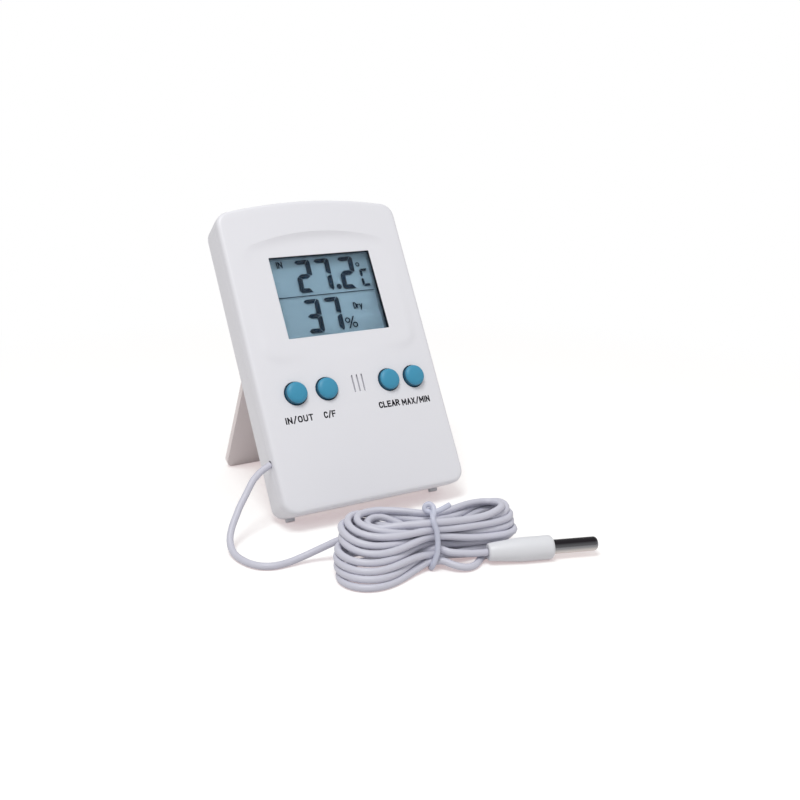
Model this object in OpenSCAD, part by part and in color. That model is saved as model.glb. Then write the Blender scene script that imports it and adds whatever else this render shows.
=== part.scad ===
// Battery thermometer with a wired probe, leaning back on its fold-out stand.
// The case pieces are drawn upright, front face at y = 0 and bottom edge at z = 0,
// and lean() sets them on the table. The cord, its hank and the probe lie on the table.

/* [Case] */
// Width of the case
case_w = 70; // [70:1:80]
// Height of the case at the middle of its arched top
case_h = 110; // [110:1:125]
// Depth of the case from front to back
case_d = 17; // [17:0.5:20]
// Rise of the arched top edge
top_rise = 3; // [1.5:0.5:5]
// Radius of the corners seen from the front
corner_r = 5; // [4:0.5:7]
// Rounding of the front edge
front_edge_r = 1.6; // [0.8:0.2:2]
// Rounding of the back edge
back_edge_r = 2.4; // [1.2:0.2:2.6]
// Draft of the rear shell on each side
rear_draft = 0.8; // [0.2:0.1:1]
// Thickness of the side walls
side_wall = 2; // [1.8:0.1:2.4]
// Thickness of the front wall
front_wall = 2; // [1.8:0.1:2.2]
// Thickness of the back wall
back_wall = 1.8; // [1.4:0.1:2]
// Depth of the front shell up to the parting line
front_d = 4.8; // [4.4:0.1:5.2]
// Height of the lap between the two shells
lap_h = 1; // [0.6:0.1:1.2]

/* [Display] */
// Width of the window
window_w = 39.6; // [36:0.2:42]
// Height of the window
window_h = 29.8; // [26:0.2:32]
// Height of the window's middle above the bottom edge
window_z = 74.3; // [72:0.1:76]
// Depth of the sunk panel round the window
panel_sink = 0.6; // [0.3:0.1:0.8]
// Half the width of the sunk panel
panel_half_w = 27.7; // [26:0.1:29]
// Sunk panel below the window's lower edge
panel_below = 5.6; // [4:0.1:7]
// Sunk panel above the window's upper edge
panel_above = 4.8; // [3:0.1:6]
// Corner radius of the sunk panel
panel_r = 4; // [2:0.5:5]
// Rise of the scooped brow over the panel
scoop_h = 4; // [2:0.5:6]
// Thickness of the clear window
lens_t = 1; // [0.8:0.1:1.2]
// Thickness of each glass of the display
glass_t = 1.2; // [1:0.1:1.3]

/* [Buttons and vents] */
// Diameter of the button caps
button_d = 8; // [7:0.1:8.4]
// Height of the button row above the bottom edge
button_z = 40.1; // [39:0.1:41]
// How far the caps stand out of the front
button_proud = 1.2; // [0.6:0.1:2]
// Travel of a button
button_travel = 0.8; // [0.4:0.1:0.9]
// Width of a vent slot
vent_w = 0.6; // [0.4:0.1:0.8]
// Height of a vent slot
vent_h = 6.2; // [4:0.2:8]
// Distance between vent slots
vent_pitch = 1.9; // [1.6:0.1:2.2]

/* [Stand] */
// Height of the hinge above the bottom edge
hinge_z = 65.6; // [62:0.2:68]
// Distance between the stand and the side of the case
stand_side = 8.6; // [8.4:0.1:9.6]
// Thickness of the stand
stand_t = 2.4; // [2:0.1:2.5]
// Angle between the open stand and the back
stand_angle = 58.8; // [50:0.2:64]
// Length of the heel above the hinge, which lands on the stop
heel_h = 3; // [2.4:0.1:3.2]
// Radius of the stand's stub pins
pin_r = 1.2; // [1:0.05:1.2]

/* [Battery] */
// Distance between each end of the battery cell and the side of the case
cell_side = 12.75; // [12.75:0.05:14]
// Room between the battery cell and the front wall
cell_room = 0.4; // [0.4:0.1:1]
// Height of the battery's middle above the bottom edge
cell_z = 17.3; // [17:0.1:19]
// Thickness of the battery door
door_t = 1.3; // [1.1:0.1:1.3]

/* [Board and fasteners] */
// Thickness of the circuit board
board_t = 1.2; // [1:0.1:1.4]
// Distance from the front to the circuit board
board_y = 6.6; // [6.6:0.1:7]
// Radius of a case screw's shank
case_screw_r = 1.15; // [1:0.05:1.25]
// Radius of a case screw's head
case_head_r = 2.1; // [1.8:0.05:2.2]
// Radius of a board screw's shank
board_screw_r = 0.9; // [0.8:0.05:1]

/* [Cord and probe] */
// Diameter of the cord
cord_d = 2.25; // [2:0.05:2.4]
// Height of the cord's hole above the bottom edge
cord_hole_z = 18.6; // [18:0.1:20]
// Length of the probe's sleeve
sleeve_len = 21; // [18:0.5:24]
// Greatest radius of the probe's sleeve
sleeve_r = 3.8; // [3.4:0.1:4.2]
// Radius of the probe's steel tube
probe_r = 2.25; // [2:0.05:2.5]
// Length of the steel tube outside its sleeve
probe_out = 14.5; // [12:0.1:20]
// Thickness of the twist tie
tie_t = 1.6; // [1.2:0.1:1.8]

/* [Clearances] */
// Gap all round a part that drops into its seat
seat_gap = 0.2; // [0.15:0.05:0.25]
// Running clearance of a pin in its bore
pin_gap = 0.05; // [0.02:0.01:0.08]
// Gap between a part and its stop
stop_gap = 0.05; // [0.02:0.01:0.08]
// Gap round a button cap
button_gap = 0.25; // [0.2:0.05:0.35]
// Gap between the folded stand and the sides of its recess
stand_gap = 0.3; // [0.25:0.05:0.4]

/* [Hidden] */
$fn = 48;

// A sliver that lets a cut pass its surface
cut = 1;

// Outline of the case seen from the front
arch_r = (pow(case_w / 2, 2) + pow(top_rise, 2)) / (2 * top_rise);
arch_z = case_h - arch_r;
corner_x = case_w / 2 - corner_r;
top_corner_z = arch_z + sqrt(pow(arch_r - corner_r, 2) - pow(corner_x, 2));
top_corner_a = atan2(top_corner_z - arch_z, corner_x);

// Places across the depth
back_in = case_d - back_wall;
recess_d = stand_t + 0.3;
recess_y = case_d - recess_d;
floor_t = 1.6;
recess_in = recess_y - floor_t;
stand_half_w = case_w / 2 - stand_side;
hinge_y = case_d - 0.1 - stand_t / 2;
recess_half_w = stand_half_w + stand_gap;
recess_wall = 1.8;
pocket_r = norm([heel_h, stand_t / 2]) + 0.27;
pin_len = 1.9;

// The stand's lower edge is flush with the bottom of the case when it is folded
stand_len = hinge_z - rear_draft;

// Feet, half sunk in the bottom near its back edge
foot_r = 0.8;
foot_len = 3;
foot_x = recess_half_w + 0.4 + foot_len / 2;
foot_y = case_d - back_edge_r + 0.2;
foot_z = rear_draft / 2;

// Lean that puts the feet and the stand's lower edge on the table
stand_foot_y = hinge_y + stand_len * sin(stand_angle) - stand_t / 2 * cos(stand_angle);
stand_foot_z = hinge_z - stand_len * cos(stand_angle) - stand_t / 2 * sin(stand_angle);
foot_span = norm([stand_foot_y - foot_y, stand_foot_z - foot_z]);
lean_angle = atan2(stand_foot_z - foot_z, stand_foot_y - foot_y) + asin(foot_r / foot_span);
lift = foot_y * sin(lean_angle) - foot_z * cos(lean_angle) + foot_r;
lean_front_y = front_edge_r * (cos(lean_angle) + sin(lean_angle) - 1);
stand_back_y = (hinge_y + stand_len * sin(stand_angle) + stand_t / 2 * cos(stand_angle)) * cos(lean_angle)
             + (hinge_z - stand_len * cos(stand_angle) + stand_t / 2 * sin(stand_angle)) * sin(lean_angle);
lean_shift = -(lean_front_y + stand_back_y) / 2;

// Display stack
lens_y = panel_sink + 0.65;
lens_edge = 2;
lens_w = window_w + 2 * lens_edge;
lens_h = window_h + 2 * lens_edge;
holder_edge = 2;
glass_w = window_w + 5.4;
glass_h = window_h + 6.2;
ledge_h = 3;
holder_w = glass_w + 2 * holder_edge;
holder_h = glass_h + 2 * holder_edge;
holder_front = lens_y + lens_t + 0.05;
glass_y = holder_front + 0.6;
zebra_w = 40;
zebra_h = 2.2;

// Buttons, from left to right
button_x = [-22.4, -10.8, 13.7, 23.7];
cap_y = front_wall + 0.1;
flange_t = 0.9;
flange_r = button_d / 2 + 1;
collar_t = 0.9;
collar_h = 2;
plunger_r = 2.4;
pill_r = 1.7;
pill_t = 0.55;
mat_t = 1;
skirt_h = 1.2;
vent_x = 2.1;

// Battery bay in the rear shell; the cell is as large as the case has room for
bay_wall = 1.2;
door_y = recess_y - door_t;
cell_gap = 0.1;
cell_d = door_y - cell_gap - front_wall - cell_room;
cell_len = case_w - 2 * cell_side;
cell_y = door_y - cell_gap - cell_d / 2;
bay_half_w = cell_len / 2 + 2.5;
bay_h = cell_d + 0.7;
door_half_w = bay_half_w + 0.25;
door_top = cell_z + bay_h / 2 + bay_wall + 1.1;
tongue_w = 0.8;
tongue_t = 0.4;
bay_floor_t = 1.4;
rail_wall = 1.5;
plate_t = 0.4;
plate_half_d = cell_d / 2 - 1.25;
plate_half_h = cell_d / 2 - 0.85;

// Screw places
post_x = case_w / 2 - 4.8;
post_low_z = 8;
post_high_z = case_h - 11;
post_y = 7.5;
post_r = 2.6;
rear_post_r = 3;
head_seat_y = case_d - 3.8;
head_t = 1.6;
board_post_low_z = window_z - holder_h / 2 - 4.8;
board_post_high_z = window_z + holder_h / 2 + 4.2;
board_post_r = 2.2;
board_low_z = button_z - 6.1;
board_high_z = board_post_high_z + 2.5;
board_half_w = case_w / 2 - side_wall - 3.5;
board_top_half_w = post_x - rear_post_r - 0.2;
board_post_x = board_top_half_w - 3;

// Cord
cord_r = cord_d / 2;
cord_hole_r = cord_r + 0.18;
grip_r = 2.2;
grip_len = 2.6;
grip_out = -case_w / 2 + side_wall + rear_draft * grip_r / (back_in - front_d) + 0.03;
grip_in = grip_out + grip_len;
cord_sides = 8;

// The cord's run from the wall, down to the table and up into the hank, on the table's frame
lead_run = [[-38.4, -27, 20.3], [-40.5, -27.8, 19.2], [-42.5, -28.7, 17.9], [-45.7, -30.4, 14.4],
            [-48.7, -32.3, 11.5], [-50.4, -33.7, 9.6], [-52, -35.1, 8], [-53.4, -36.5, 6.4],
            [-54.8, -38.4, 4.4], [-55.5, -40.4, 2.8], [-55.8, -42.8, 1.7], [-55.8, -46, 1.2],
            [-55.5, -49, 1.2], [-54.4, -53.2, 1.2], [-52, -56.8, 1.2], [-48.4, -58.6, 1.2],
            [-43.6, -58.8, 1.4], [-38.6, -59, 2.4], [-34, -60.3, 4.2], [-29.7, -62.2, 6.3],
            [-26.5, -63.3, 7.4], [-23.5, -64.9, 8.2]];

// The hank: a tied bundle of loops, drawn about its tie with x along the bundle
hank_at = [-3.5, -78.3];
hank_turn = -28;
hank_left = [-17.6, -7.3];
hank_left_r = 12.5;
hank_left_h = 16.5;
hank_right = [18, 9.9];
hank_right_r = 8;
hank_right_h = 13.5;
waist_w = 11;
waist_h = 14;
waist_half_l = 2;

// The cord's short run from the hank to the probe
tail_run = [[-4.5, -83.4, 5.7], [-2.5, -84.6, 5.4], [-0.8, -85.6, 5.1], [1.6, -86.4, 4.7],
            [3.9, -87, 4.3], [6, -87.2, 4]];

// The probe, lying on the straight part of its sleeve
probe_start = [9.8, -88.1];
probe_turn = -19.4;
sleeve_small_r = 2.8;
sleeve_edge = 0.5;
sleeve_shoulder = 1.6;
probe_tip_round = 1.2;
probe_in = 10;
probe_wall = 0.3;
probe_end_t = 1;
bead_r = 1.1;

// ---- Shared shapes ----

function arc(c, r, a0, a1, n) =
    [for (i = [0 : n]) let (a = a0 + (a1 - a0) * i / n) [c[0] + r * cos(a), c[1] + r * sin(a)]];

// Outline of the case, drawn in by inset all round
function case_outline(inset) = concat(
    arc([-corner_x, corner_r], corner_r - inset, 180, 270, 8),
    arc([corner_x, corner_r], corner_r - inset, 270, 360, 8),
    arc([corner_x, top_corner_z], corner_r - inset, 0, top_corner_a, 7),
    [for (i = [1 : 15]) let (a = top_corner_a + (180 - 2 * top_corner_a) * i / 16)
        [(arch_r - inset) * cos(a), arch_z + (arch_r - inset) * sin(a)]],
    arc([-corner_x, top_corner_z], corner_r - inset, 180 - top_corner_a, 180, 7));

function rounded_rect(x0, z0, x1, z1, r, n = 6) = concat(
    arc([x0 + r, z0 + r], r, 180, 270, n), arc([x1 - r, z0 + r], r, 270, 360, n),
    arc([x1 - r, z1 - r], r, 0, 90, n), arc([x0 + r, z1 - r], r, 90, 180, n));

// A shape drawn in x and z, running from y0 to y1
module slab(y0, y1) {
    translate([0, y1, 0]) rotate([90, 0, 0]) linear_extrude(y1 - y0) children();
}

module block(x0, x1, y0, y1, z0, z1) {
    translate([x0, y0, z0]) cube([x1 - x0, y1 - y0, z1 - z0]);
}

module middle_block(half_w, y0, y1, z0, z1) {
    block(-half_w, half_w, y0, y1, z0, z1);
}

// A round bar along y
module bar_y(x, z, r, y0, y1) {
    translate([x, y0, z]) rotate([-90, 0, 0]) cylinder(h = y1 - y0, r = r);
}

// A round bar along x
module bar_x(y, z, r, x0, x1) {
    translate([x0, y, z]) rotate([0, 90, 0]) cylinder(h = x1 - x0, r = r);
}

module window_slab(y0, y1, w, h) {
    block(-w / 2, w / 2, y0, y1, window_z - h / 2, window_z + h / 2);
}

// Sets an upright case piece on the table
module lean() {
    translate([0, lean_shift, lift]) rotate([-lean_angle, 0, 0]) children();
}

// A tube swept along points; each ring's frame is carried on from the last
function unit(v) = v / norm(v);
function heading(p, i) = unit(p[min(i + 1, len(p) - 1)] - p[max(i - 1, 0)]);
function side_start(t) = unit(cross(t, abs(t[2]) < 0.9 ? [0, 0, 1] : [1, 0, 0]));
function sides_along(p, i = 0, u = undef, out = []) =
    i == len(p) ? out
    : let (t = heading(p, i), v = u == undef ? side_start(t) : unit(u - (u * t) * t))
      sides_along(p, i + 1, v, concat(out, [v]));

module sweep(p, r, n = cord_sides) {
    u = sides_along(p);
    rings = [for (i = [0 : len(p) - 1]) let (t = heading(p, i), w = cross(t, u[i]))
             for (k = [0 : n - 1]) p[i] + r * (u[i] * cos(360 * k / n) + w * sin(360 * k / n))];
    last = (len(p) - 1) * n;
    sides = [for (i = [0 : len(p) - 2], k = [0 : n - 1]) let (m = (k + 1) % n)
             [i * n + k, (i + 1) * n + k, (i + 1) * n + m, i * n + m]];
    polyhedron(points = rings, convexity = 6,
               faces = concat([[for (k = [0 : n - 1]) k]], sides, [[for (k = [n - 1 : -1 : 0]) last + k]]));
}

// ---- Case ----

module front_blank() {
    hull() for (a = [0 : 22.5 : 90]) let (y = front_edge_r * (1 - sin(a)))
        slab(y, y + 0.01) polygon(case_outline(front_edge_r * (1 - cos(a))));
    slab(front_edge_r, front_d) polygon(case_outline(0));
}

module rear_blank() {
    hull() {
        slab(front_d, front_d + 0.01) polygon(case_outline(0));
        for (a = [0 : 22.5 : 90]) let (y = case_d - back_edge_r * (1 - sin(a)))
            slab(y - 0.01, y) polygon(case_outline(rear_draft + back_edge_r * (1 - cos(a))));
    }
}

// The sunk panel round the window, and the hollow that rises from it to an arched brow.
// The hollow is a ring cut, steepest at the brow and level where it meets the panel.
module display_sink() {
    low = window_z - window_h / 2 - panel_below;
    high = window_z + window_h / 2 + panel_above;
    brow_half_w = panel_half_w - panel_r;
    brow_r = (pow(brow_half_w, 2) + pow(scoop_h, 2)) / (2 * scoop_h);
    scoop_d = panel_sink - 0.05;
    scoop_r = (pow(scoop_h, 2) + pow(scoop_d, 2)) / (2 * scoop_d);
    slab(-cut, panel_sink) polygon(rounded_rect(-panel_half_w, low, panel_half_w, high, panel_r));
    intersection() {
        middle_block(panel_half_w - panel_r / 2, -cut, panel_sink, high - panel_r, high + scoop_h + cut);
        translate([0, scoop_d - scoop_r, high + scoop_h - brow_r]) rotate([90, 0, 0])
            rotate_extrude($fn = 144) translate([brow_r - scoop_h, 0]) circle(r = scoop_r);
    }
}

module vent_slots() {
    for (i = [-1 : 1]) {
        x = vent_x + i * vent_pitch;
        block(x - vent_w / 2, x + vent_w / 2, -cut, front_wall + cut,
              button_z + 0.6 - vent_h / 2, button_z + 0.6 + vent_h / 2);
    }
}

module screw_post_web(side, z) {
    block(min(side * post_x, side * (case_w / 2 - side_wall + 0.3)),
          max(side * post_x, side * (case_w / 2 - side_wall + 0.3)),
          front_wall - 0.5, front_d - lap_h - 0.2, z - 0.6, z + 0.6);
}

module front_case() {
    color("whitesmoke") lean() difference() {
        union() {
            difference() {
                front_blank();
                slab(front_wall, front_d + cut) polygon(case_outline(side_wall));
                slab(front_d - lap_h, front_d + cut) polygon(case_outline(side_wall / 2));
            }
            for (x = button_x)
                bar_y(x, button_z, flange_r + 0.3 + collar_t, front_wall - 0.5, front_wall + collar_h);
            for (side = [-1, 1]) {
                for (z = [post_low_z, post_high_z]) {
                    bar_y(side * post_x, z, post_r, front_wall - 0.5, post_y);
                    screw_post_web(side, z);
                }
                for (z = [board_post_low_z, board_post_high_z])
                    bar_y(side * board_post_x, z, board_post_r, front_wall - 0.5, board_y);
            }
        }
        display_sink();
        window_slab(-cut, front_wall + cut, window_w, window_h);
        window_slab(lens_y, front_wall + cut, lens_w + 2 * seat_gap, lens_h + 2 * seat_gap);
        for (x = button_x) {
            bar_y(x, button_z, button_d / 2 + button_gap, -cut, front_wall + cut);
            bar_y(x, button_z, flange_r + 0.3, front_wall, front_wall + collar_h + cut);
        }
        vent_slots();
        for (side = [-1, 1]) {
            for (z = [post_low_z, post_high_z])
                bar_y(side * post_x, z, case_screw_r, front_wall + 1, post_y + cut);
            for (z = [board_post_low_z, board_post_high_z])
                bar_y(side * board_post_x, z, board_screw_r, front_wall + 0.8, board_y + cut);
        }
        bar_x(front_d, cord_hole_z, cord_hole_r, -case_w / 2 - cut, -case_w / 2 + side_wall + cut);
    }
}

// The heel's pocket round the hinge, less the sloped stop that the heel lands on
module heel_pocket() {
    difference() {
        bar_x(hinge_y, hinge_z, pocket_r, -recess_half_w, recess_half_w);
        intersection() {
            translate([0, hinge_y, hinge_z]) rotate([stand_angle, 0, 0])
                middle_block(recess_half_w + cut, -3 * pocket_r, -stand_t / 2 - stop_gap,
                             -3 * pocket_r, 3 * pocket_r);
            middle_block(recess_half_w + cut, hinge_y - 2 * pocket_r, recess_y,
                         hinge_z - 2 * pocket_r, hinge_z + 2 * pocket_r);
        }
    }
}

module battery_bay_walls() {
    middle_block(bay_half_w + bay_wall, front_wall + cell_room, door_y - cell_gap,
                 cell_z - bay_h / 2 - bay_wall, cell_z + bay_h / 2 + bay_wall);
}

module battery_bay_hollow() {
    difference() {
        middle_block(bay_half_w, front_wall + cell_room - cut, recess_y,
                     cell_z - bay_h / 2, cell_z + bay_h / 2);
        for (x = [-12, 12]) difference() {
            block(x - 0.6, x + 0.6, front_wall + cell_room, cell_y,
                  cell_z - bay_h / 2 - cut, cell_z + bay_h / 2 + cut);
            bar_x(cell_y, cell_z, cell_d / 2 + 0.05, x - cut, x + cut);
        }
    }
}

module door_channel() {
    middle_block(door_half_w + seat_gap, door_y - 0.1, case_d, -cut, door_top + seat_gap);
    middle_block(door_half_w + tongue_w + seat_gap, door_y, door_y + tongue_t + 0.2,
                 -cut, door_top + seat_gap);
}

module hanging_hole() {
    z = window_z + 18;
    bar_y(0, z, 4, back_in - cut, case_d + cut);
    block(-2, 2, back_in - cut, case_d + cut, z, z + 6);
    bar_y(0, z + 6, 2, back_in - cut, case_d + cut);
}

module rear_case() {
    color("whitesmoke") lean() difference() {
        union() {
            difference() {
                rear_blank();
                hull() {
                    slab(front_d - 0.01, front_d) polygon(case_outline(side_wall));
                    slab(back_in - 0.01, back_in) polygon(case_outline(side_wall + rear_draft));
                }
            }
            // the lap that slips inside the front shell
            difference() {
                slab(front_d - lap_h + 0.1, front_d + 0.5) polygon(case_outline(side_wall / 2 + 0.1));
                slab(front_d - lap_h - cut, front_d + cut) polygon(case_outline(side_wall));
            }
            intersection() {
                rear_blank();
                union() {
                    middle_block(recess_half_w + recess_wall, recess_in, case_d, 0, hinge_z);
                    middle_block(door_half_w + tongue_w + rail_wall, door_y - bay_floor_t, case_d,
                                 0, door_top + rail_wall);
                    bar_x(hinge_y, hinge_z, pocket_r + 1.4,
                          -recess_half_w - recess_wall, recess_half_w + recess_wall);
                    for (side = [-1, 1]) for (z = [post_low_z, post_high_z])
                        bar_y(side * post_x, z, rear_post_r, post_y, case_d);
                    for (side = [-1, 1])
                        bar_x(hinge_y, hinge_z, pin_r + 1.6, side * (recess_half_w + 1.6) - 1.6,
                              side * (recess_half_w + 1.6) + 1.6);
                }
            }
            battery_bay_walls();
            for (side = [-1, 1])
                bar_x(foot_y, foot_z, foot_r, side * foot_x - foot_len / 2, side * foot_x + foot_len / 2);
        }
        middle_block(recess_half_w, recess_y, case_d + cut, -cut, hinge_z);
        heel_pocket();
        bar_x(hinge_y, hinge_z, pin_r + pin_gap, -recess_half_w - pin_len, recess_half_w + pin_len);
        battery_bay_hollow();
        door_channel();
        for (side = [-1, 1]) for (z = [post_low_z, post_high_z]) {
            bar_y(side * post_x, z, case_screw_r + 0.15, post_y - cut, case_d + cut);
            bar_y(side * post_x, z, case_head_r + 0.2, head_seat_y, case_d + cut);
        }
        hanging_hole();
        for (i = [-3 : 3])
            block(4 * i - 0.7, 4 * i + 0.7, back_in - cut, case_d + cut, window_z, window_z + 9);
        bar_x(front_d, cord_hole_z, cord_hole_r, -case_w / 2 - cut, -case_w / 2 + side_wall + cut);
    }
}

// Drawn folded flat, then swung open about its stub pins
module stand() {
    color("gainsboro") lean() translate([0, hinge_y, hinge_z]) rotate([stand_angle, 0, 0]) {
        slab(-stand_t / 2, stand_t / 2) polygon(concat(
            arc([-stand_half_w + 3, -stand_len + 3], 3, 180, 270, 8),
            arc([stand_half_w - 3, -stand_len + 3], 3, 270, 360, 8),
            [[stand_half_w, heel_h], [-stand_half_w, heel_h]]));
        bar_x(0, 0, pin_r, -recess_half_w - pin_len + 0.2, recess_half_w + pin_len - 0.2);
    }
}

module battery_door() {
    color("whitesmoke") lean() difference() {
        union() {
            middle_block(door_half_w, door_y, recess_y, rear_draft, door_top);
            middle_block(door_half_w + tongue_w, door_y + 0.1, door_y + 0.1 + tongue_t,
                         rear_draft, door_top);
        }
        for (i = [0 : 4])
            middle_block(6, recess_y - 0.4, recess_y + cut, 4 + 1.6 * i, 4.8 + 1.6 * i);
        slab(recess_y - 0.3, recess_y + cut) polygon([[-3, 16], [0, 13], [3, 16]]);
    }
}

// ---- Display ----

module display_window() {
    color("lightcyan", 0.4) lean()
        window_slab(lens_y, lens_y + lens_t, lens_w, lens_h);
}

module lcd_panel() {
    color("lightsteelblue") lean() {
        window_slab(glass_y, glass_y + glass_t, glass_w, glass_h);
        block(-glass_w / 2, glass_w / 2, glass_y + glass_t, glass_y + 2 * glass_t,
              window_z - glass_h / 2 + ledge_h, window_z + glass_h / 2);
    }
}

module lcd_holder() {
    color("white") lean() difference() {
        window_slab(front_wall, board_y, holder_w, holder_h);
        window_slab(front_wall - cut, board_y + cut, window_w + 1, window_h + 1);
        window_slab(front_wall - cut, holder_front, lens_w + 2 * seat_gap, lens_h + 2 * seat_gap);
        window_slab(glass_y, board_y + cut, glass_w + 2 * seat_gap, glass_h + 2 * seat_gap);
    }
}

module zebra_strip() {
    z = window_z - glass_h / 2 + 0.4;
    color("hotpink") lean()
        middle_block(zebra_w / 2, glass_y + glass_t, board_y, z, z + zebra_h);
}

// ---- Board and what is on it ----

module circuit_board() {
    step_z = board_high_z - 7;
    color("seagreen") lean() difference() {
        slab(board_y, board_y + board_t) polygon([
            [-board_half_w, board_low_z], [board_half_w, board_low_z],
            [board_half_w, step_z], [board_top_half_w, step_z],
            [board_top_half_w, board_high_z], [-board_top_half_w, board_high_z],
            [-board_top_half_w, step_z], [-board_half_w, step_z]]);
        for (side = [-1, 1]) for (z = [board_post_low_z, board_post_high_z])
            bar_y(side * board_post_x, z, board_screw_r + 0.15, board_y - cut, board_y + board_t + cut);
    }
}

module chip_blob() {
    base_r = 6;
    high = 1.7;
    ball_r = (base_r * base_r + high * high) / (2 * high);
    back = board_y + board_t;
    color("#202020") lean() intersection() {
        translate([-6, back + high - ball_r, window_z + 4]) sphere(r = ball_r, $fn = 96);
        block(-13, 1, back, back + high + cut, window_z - 4, window_z + 12);
    }
}

module crystal() {
    color("silver") lean() translate([12, board_y + board_t + 1, window_z])
        cylinder(h = 6, r = 1);
}

module board_parts() {
    back = board_y + board_t;
    color("tan") lean() for (i = [0 : 6])
        block(3.6 * i - 12, 3.6 * i - 10, back, back + 0.6, window_z - 14, window_z - 12.8);
}

module humidity_sensor() {
    z = button_z + 0.6;
    color("khaki") lean() {
        block(vent_x - 4, vent_x + 4, board_y - 3.4, board_y - 2.6, z - 5, z + 5);
        for (x = [-1.3, 1.3])
            bar_y(vent_x + x, z - 3.5, 0.25, board_y - 2.6, board_y);
    }
}

module air_thermistor() {
    y = board_y - 0.25;
    color("dimgray") lean() {
        translate([vent_x, y, board_low_z - 2.4]) sphere(r = 1.1, $fn = 32);
        for (x = [-0.6, 0.6]) translate([vent_x + x, y, board_low_z - 2])
            cylinder(h = 4, r = 0.25);
    }
}

module keypad_mat() {
    low = board_low_z + 0.3;
    back = board_y;
    front = board_y - mat_t;
    color("lightgray") lean() difference() {
        union() {
            middle_block(board_half_w - 1, front, back, low, button_z + 5.8);
            for (x = button_x) translate([x, front, button_z]) rotate([90, 0, 0])
                cylinder(h = skirt_h, r1 = plunger_r + 1.5, r2 = plunger_r + 0.9);
        }
        for (x = button_x)
            bar_y(x, button_z, plunger_r + 0.3, front - skirt_h - cut, back + cut);
        block(vent_x - 4.6, vent_x + 4.6, front - cut, back + cut, low - cut, button_z + 5);
    }
}

// ---- Buttons: a cap and the plunger that it pushes ----

// Half section of a cap, radius and height over the front face
function cap_profile() = let (r = button_d / 2, edge = 0.7, crown = 0.35,
                              big = (pow(r - edge, 2) + crown * crown) / (2 * crown),
                              lean_in = asin((r - edge) / big)) concat(
    [[0, -cap_y - flange_t], [flange_r, -cap_y - flange_t], [flange_r, -cap_y], [r, -cap_y]],
    [for (a = [0 : 15 : 75]) [r - edge + edge * cos(a), button_proud - crown - edge + edge * sin(a)]],
    [for (i = [6 : -1 : 0]) let (a = lean_in * i / 6)
        [big * sin(a), button_proud - big * (1 - cos(a))]]);

module button_cap(x) {
    color("#3a96b4") lean() translate([x, 0, button_z]) rotate([90, 0, 0])
        rotate_extrude($fn = 64) polygon(cap_profile());
}

module plunger(x) {
    top = cap_y + flange_t;
    end = board_y - button_travel - stop_gap;
    color("lightgray") lean() {
        bar_y(x, button_z, plunger_r, top, end - pill_t);
        bar_y(x, button_z, pill_r, end - pill_t, end);
    }
}

// ---- Battery ----

module battery_cell() {
    end = bay_half_w - plate_t - 0.1;
    nub = 0.9;
    color("dimgray") lean() {
        bar_x(cell_y, cell_z, cell_d / 2, end - cell_len, end - nub);
        bar_x(cell_y, cell_z, 1.9, end - nub, end);
    }
}

module contact_plate(x0, x1) {
    block(x0, x1, cell_y - plate_half_d, cell_y + plate_half_d,
          cell_z - plate_half_h, cell_z + plate_half_h);
}

module battery_spring() {
    wire_r = 0.3;
    turns = 3;
    left = -bay_half_w + plate_t;
    start = left + wire_r - 0.1;
    run = bay_half_w - plate_t - 0.1 - cell_len - wire_r - start;
    color("silver") lean() {
        contact_plate(-bay_half_w, left);
        sweep([for (i = [0 : 14 * turns]) let (s = i / (14 * turns), a = 360 * turns * s,
                                              r = 3.4 - 1.2 * s)
               [start + run * s, cell_y + r * cos(a), cell_z + r * sin(a)]], wire_r, 6);
    }
}

module battery_plate() {
    color("silver") lean()
        contact_plate(bay_half_w - plate_t, bay_half_w);
}

// ---- Fasteners ----

module case_screws() {
    color("silver") lean() for (side = [-1, 1]) for (z = [post_low_z, post_high_z]) difference() {
        union() {
            bar_y(side * post_x, z, case_screw_r, front_wall + 2, head_seat_y);
            bar_y(side * post_x, z, case_head_r, head_seat_y, head_seat_y + head_t);
        }
        for (turn = [0, 90]) translate([side * post_x, head_seat_y + head_t, z]) rotate([0, turn, 0])
            cube([2.6, 1.6, 0.6], center = true);
    }
}

module board_screws() {
    y = board_y + board_t;
    color("silver") lean() for (side = [-1, 1]) for (z = [board_post_low_z, board_post_high_z])
        difference() {
            union() {
                bar_y(side * board_post_x, z, board_screw_r, front_wall + 1.5, y);
                bar_y(side * board_post_x, z, 1.8, y, y + 1.1);
            }
            for (turn = [0, 90]) translate([side * board_post_x, y + 1.1, z]) rotate([0, turn, 0])
                cube([2.2, 1, 0.5], center = true);
        }
}

// ---- Cord and probe ----

// The point where the cord leaves the wall, on the table's frame
function on_table(p) = [p[0], p[1] * cos(lean_angle) + p[2] * sin(lean_angle) + lean_shift,
                        p[2] * cos(lean_angle) - p[1] * sin(lean_angle) + lift];

module cord_grip() {
    color("lavender") lean() bar_x(front_d, cord_hole_z, grip_r, grip_out, grip_in);
}

module cord_inner() {
    back = board_y + board_t + cord_r + 0.05;
    color("lavender") lean() sweep([
        [grip_in, front_d, cord_hole_z], [grip_in + 0.6, front_d, cord_hole_z],
        [grip_in + 1.6, front_d + 0.1, cord_hole_z + 0.7],
        [grip_in + 2.3, front_d + 0.6, cord_hole_z + 2], [grip_in + 2.6, front_d + 1.5, cord_hole_z + 5],
        [grip_in + 2.6, back - 1.4, cord_hole_z + 9], [grip_in + 2.6, back - 0.1, cord_hole_z + 13],
        [grip_in + 3.2, back, board_low_z + 3], [grip_in + 4.6, back, board_low_z + 6],
        [grip_in + 7, back, board_low_z + 8]], cord_r);
}

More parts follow.
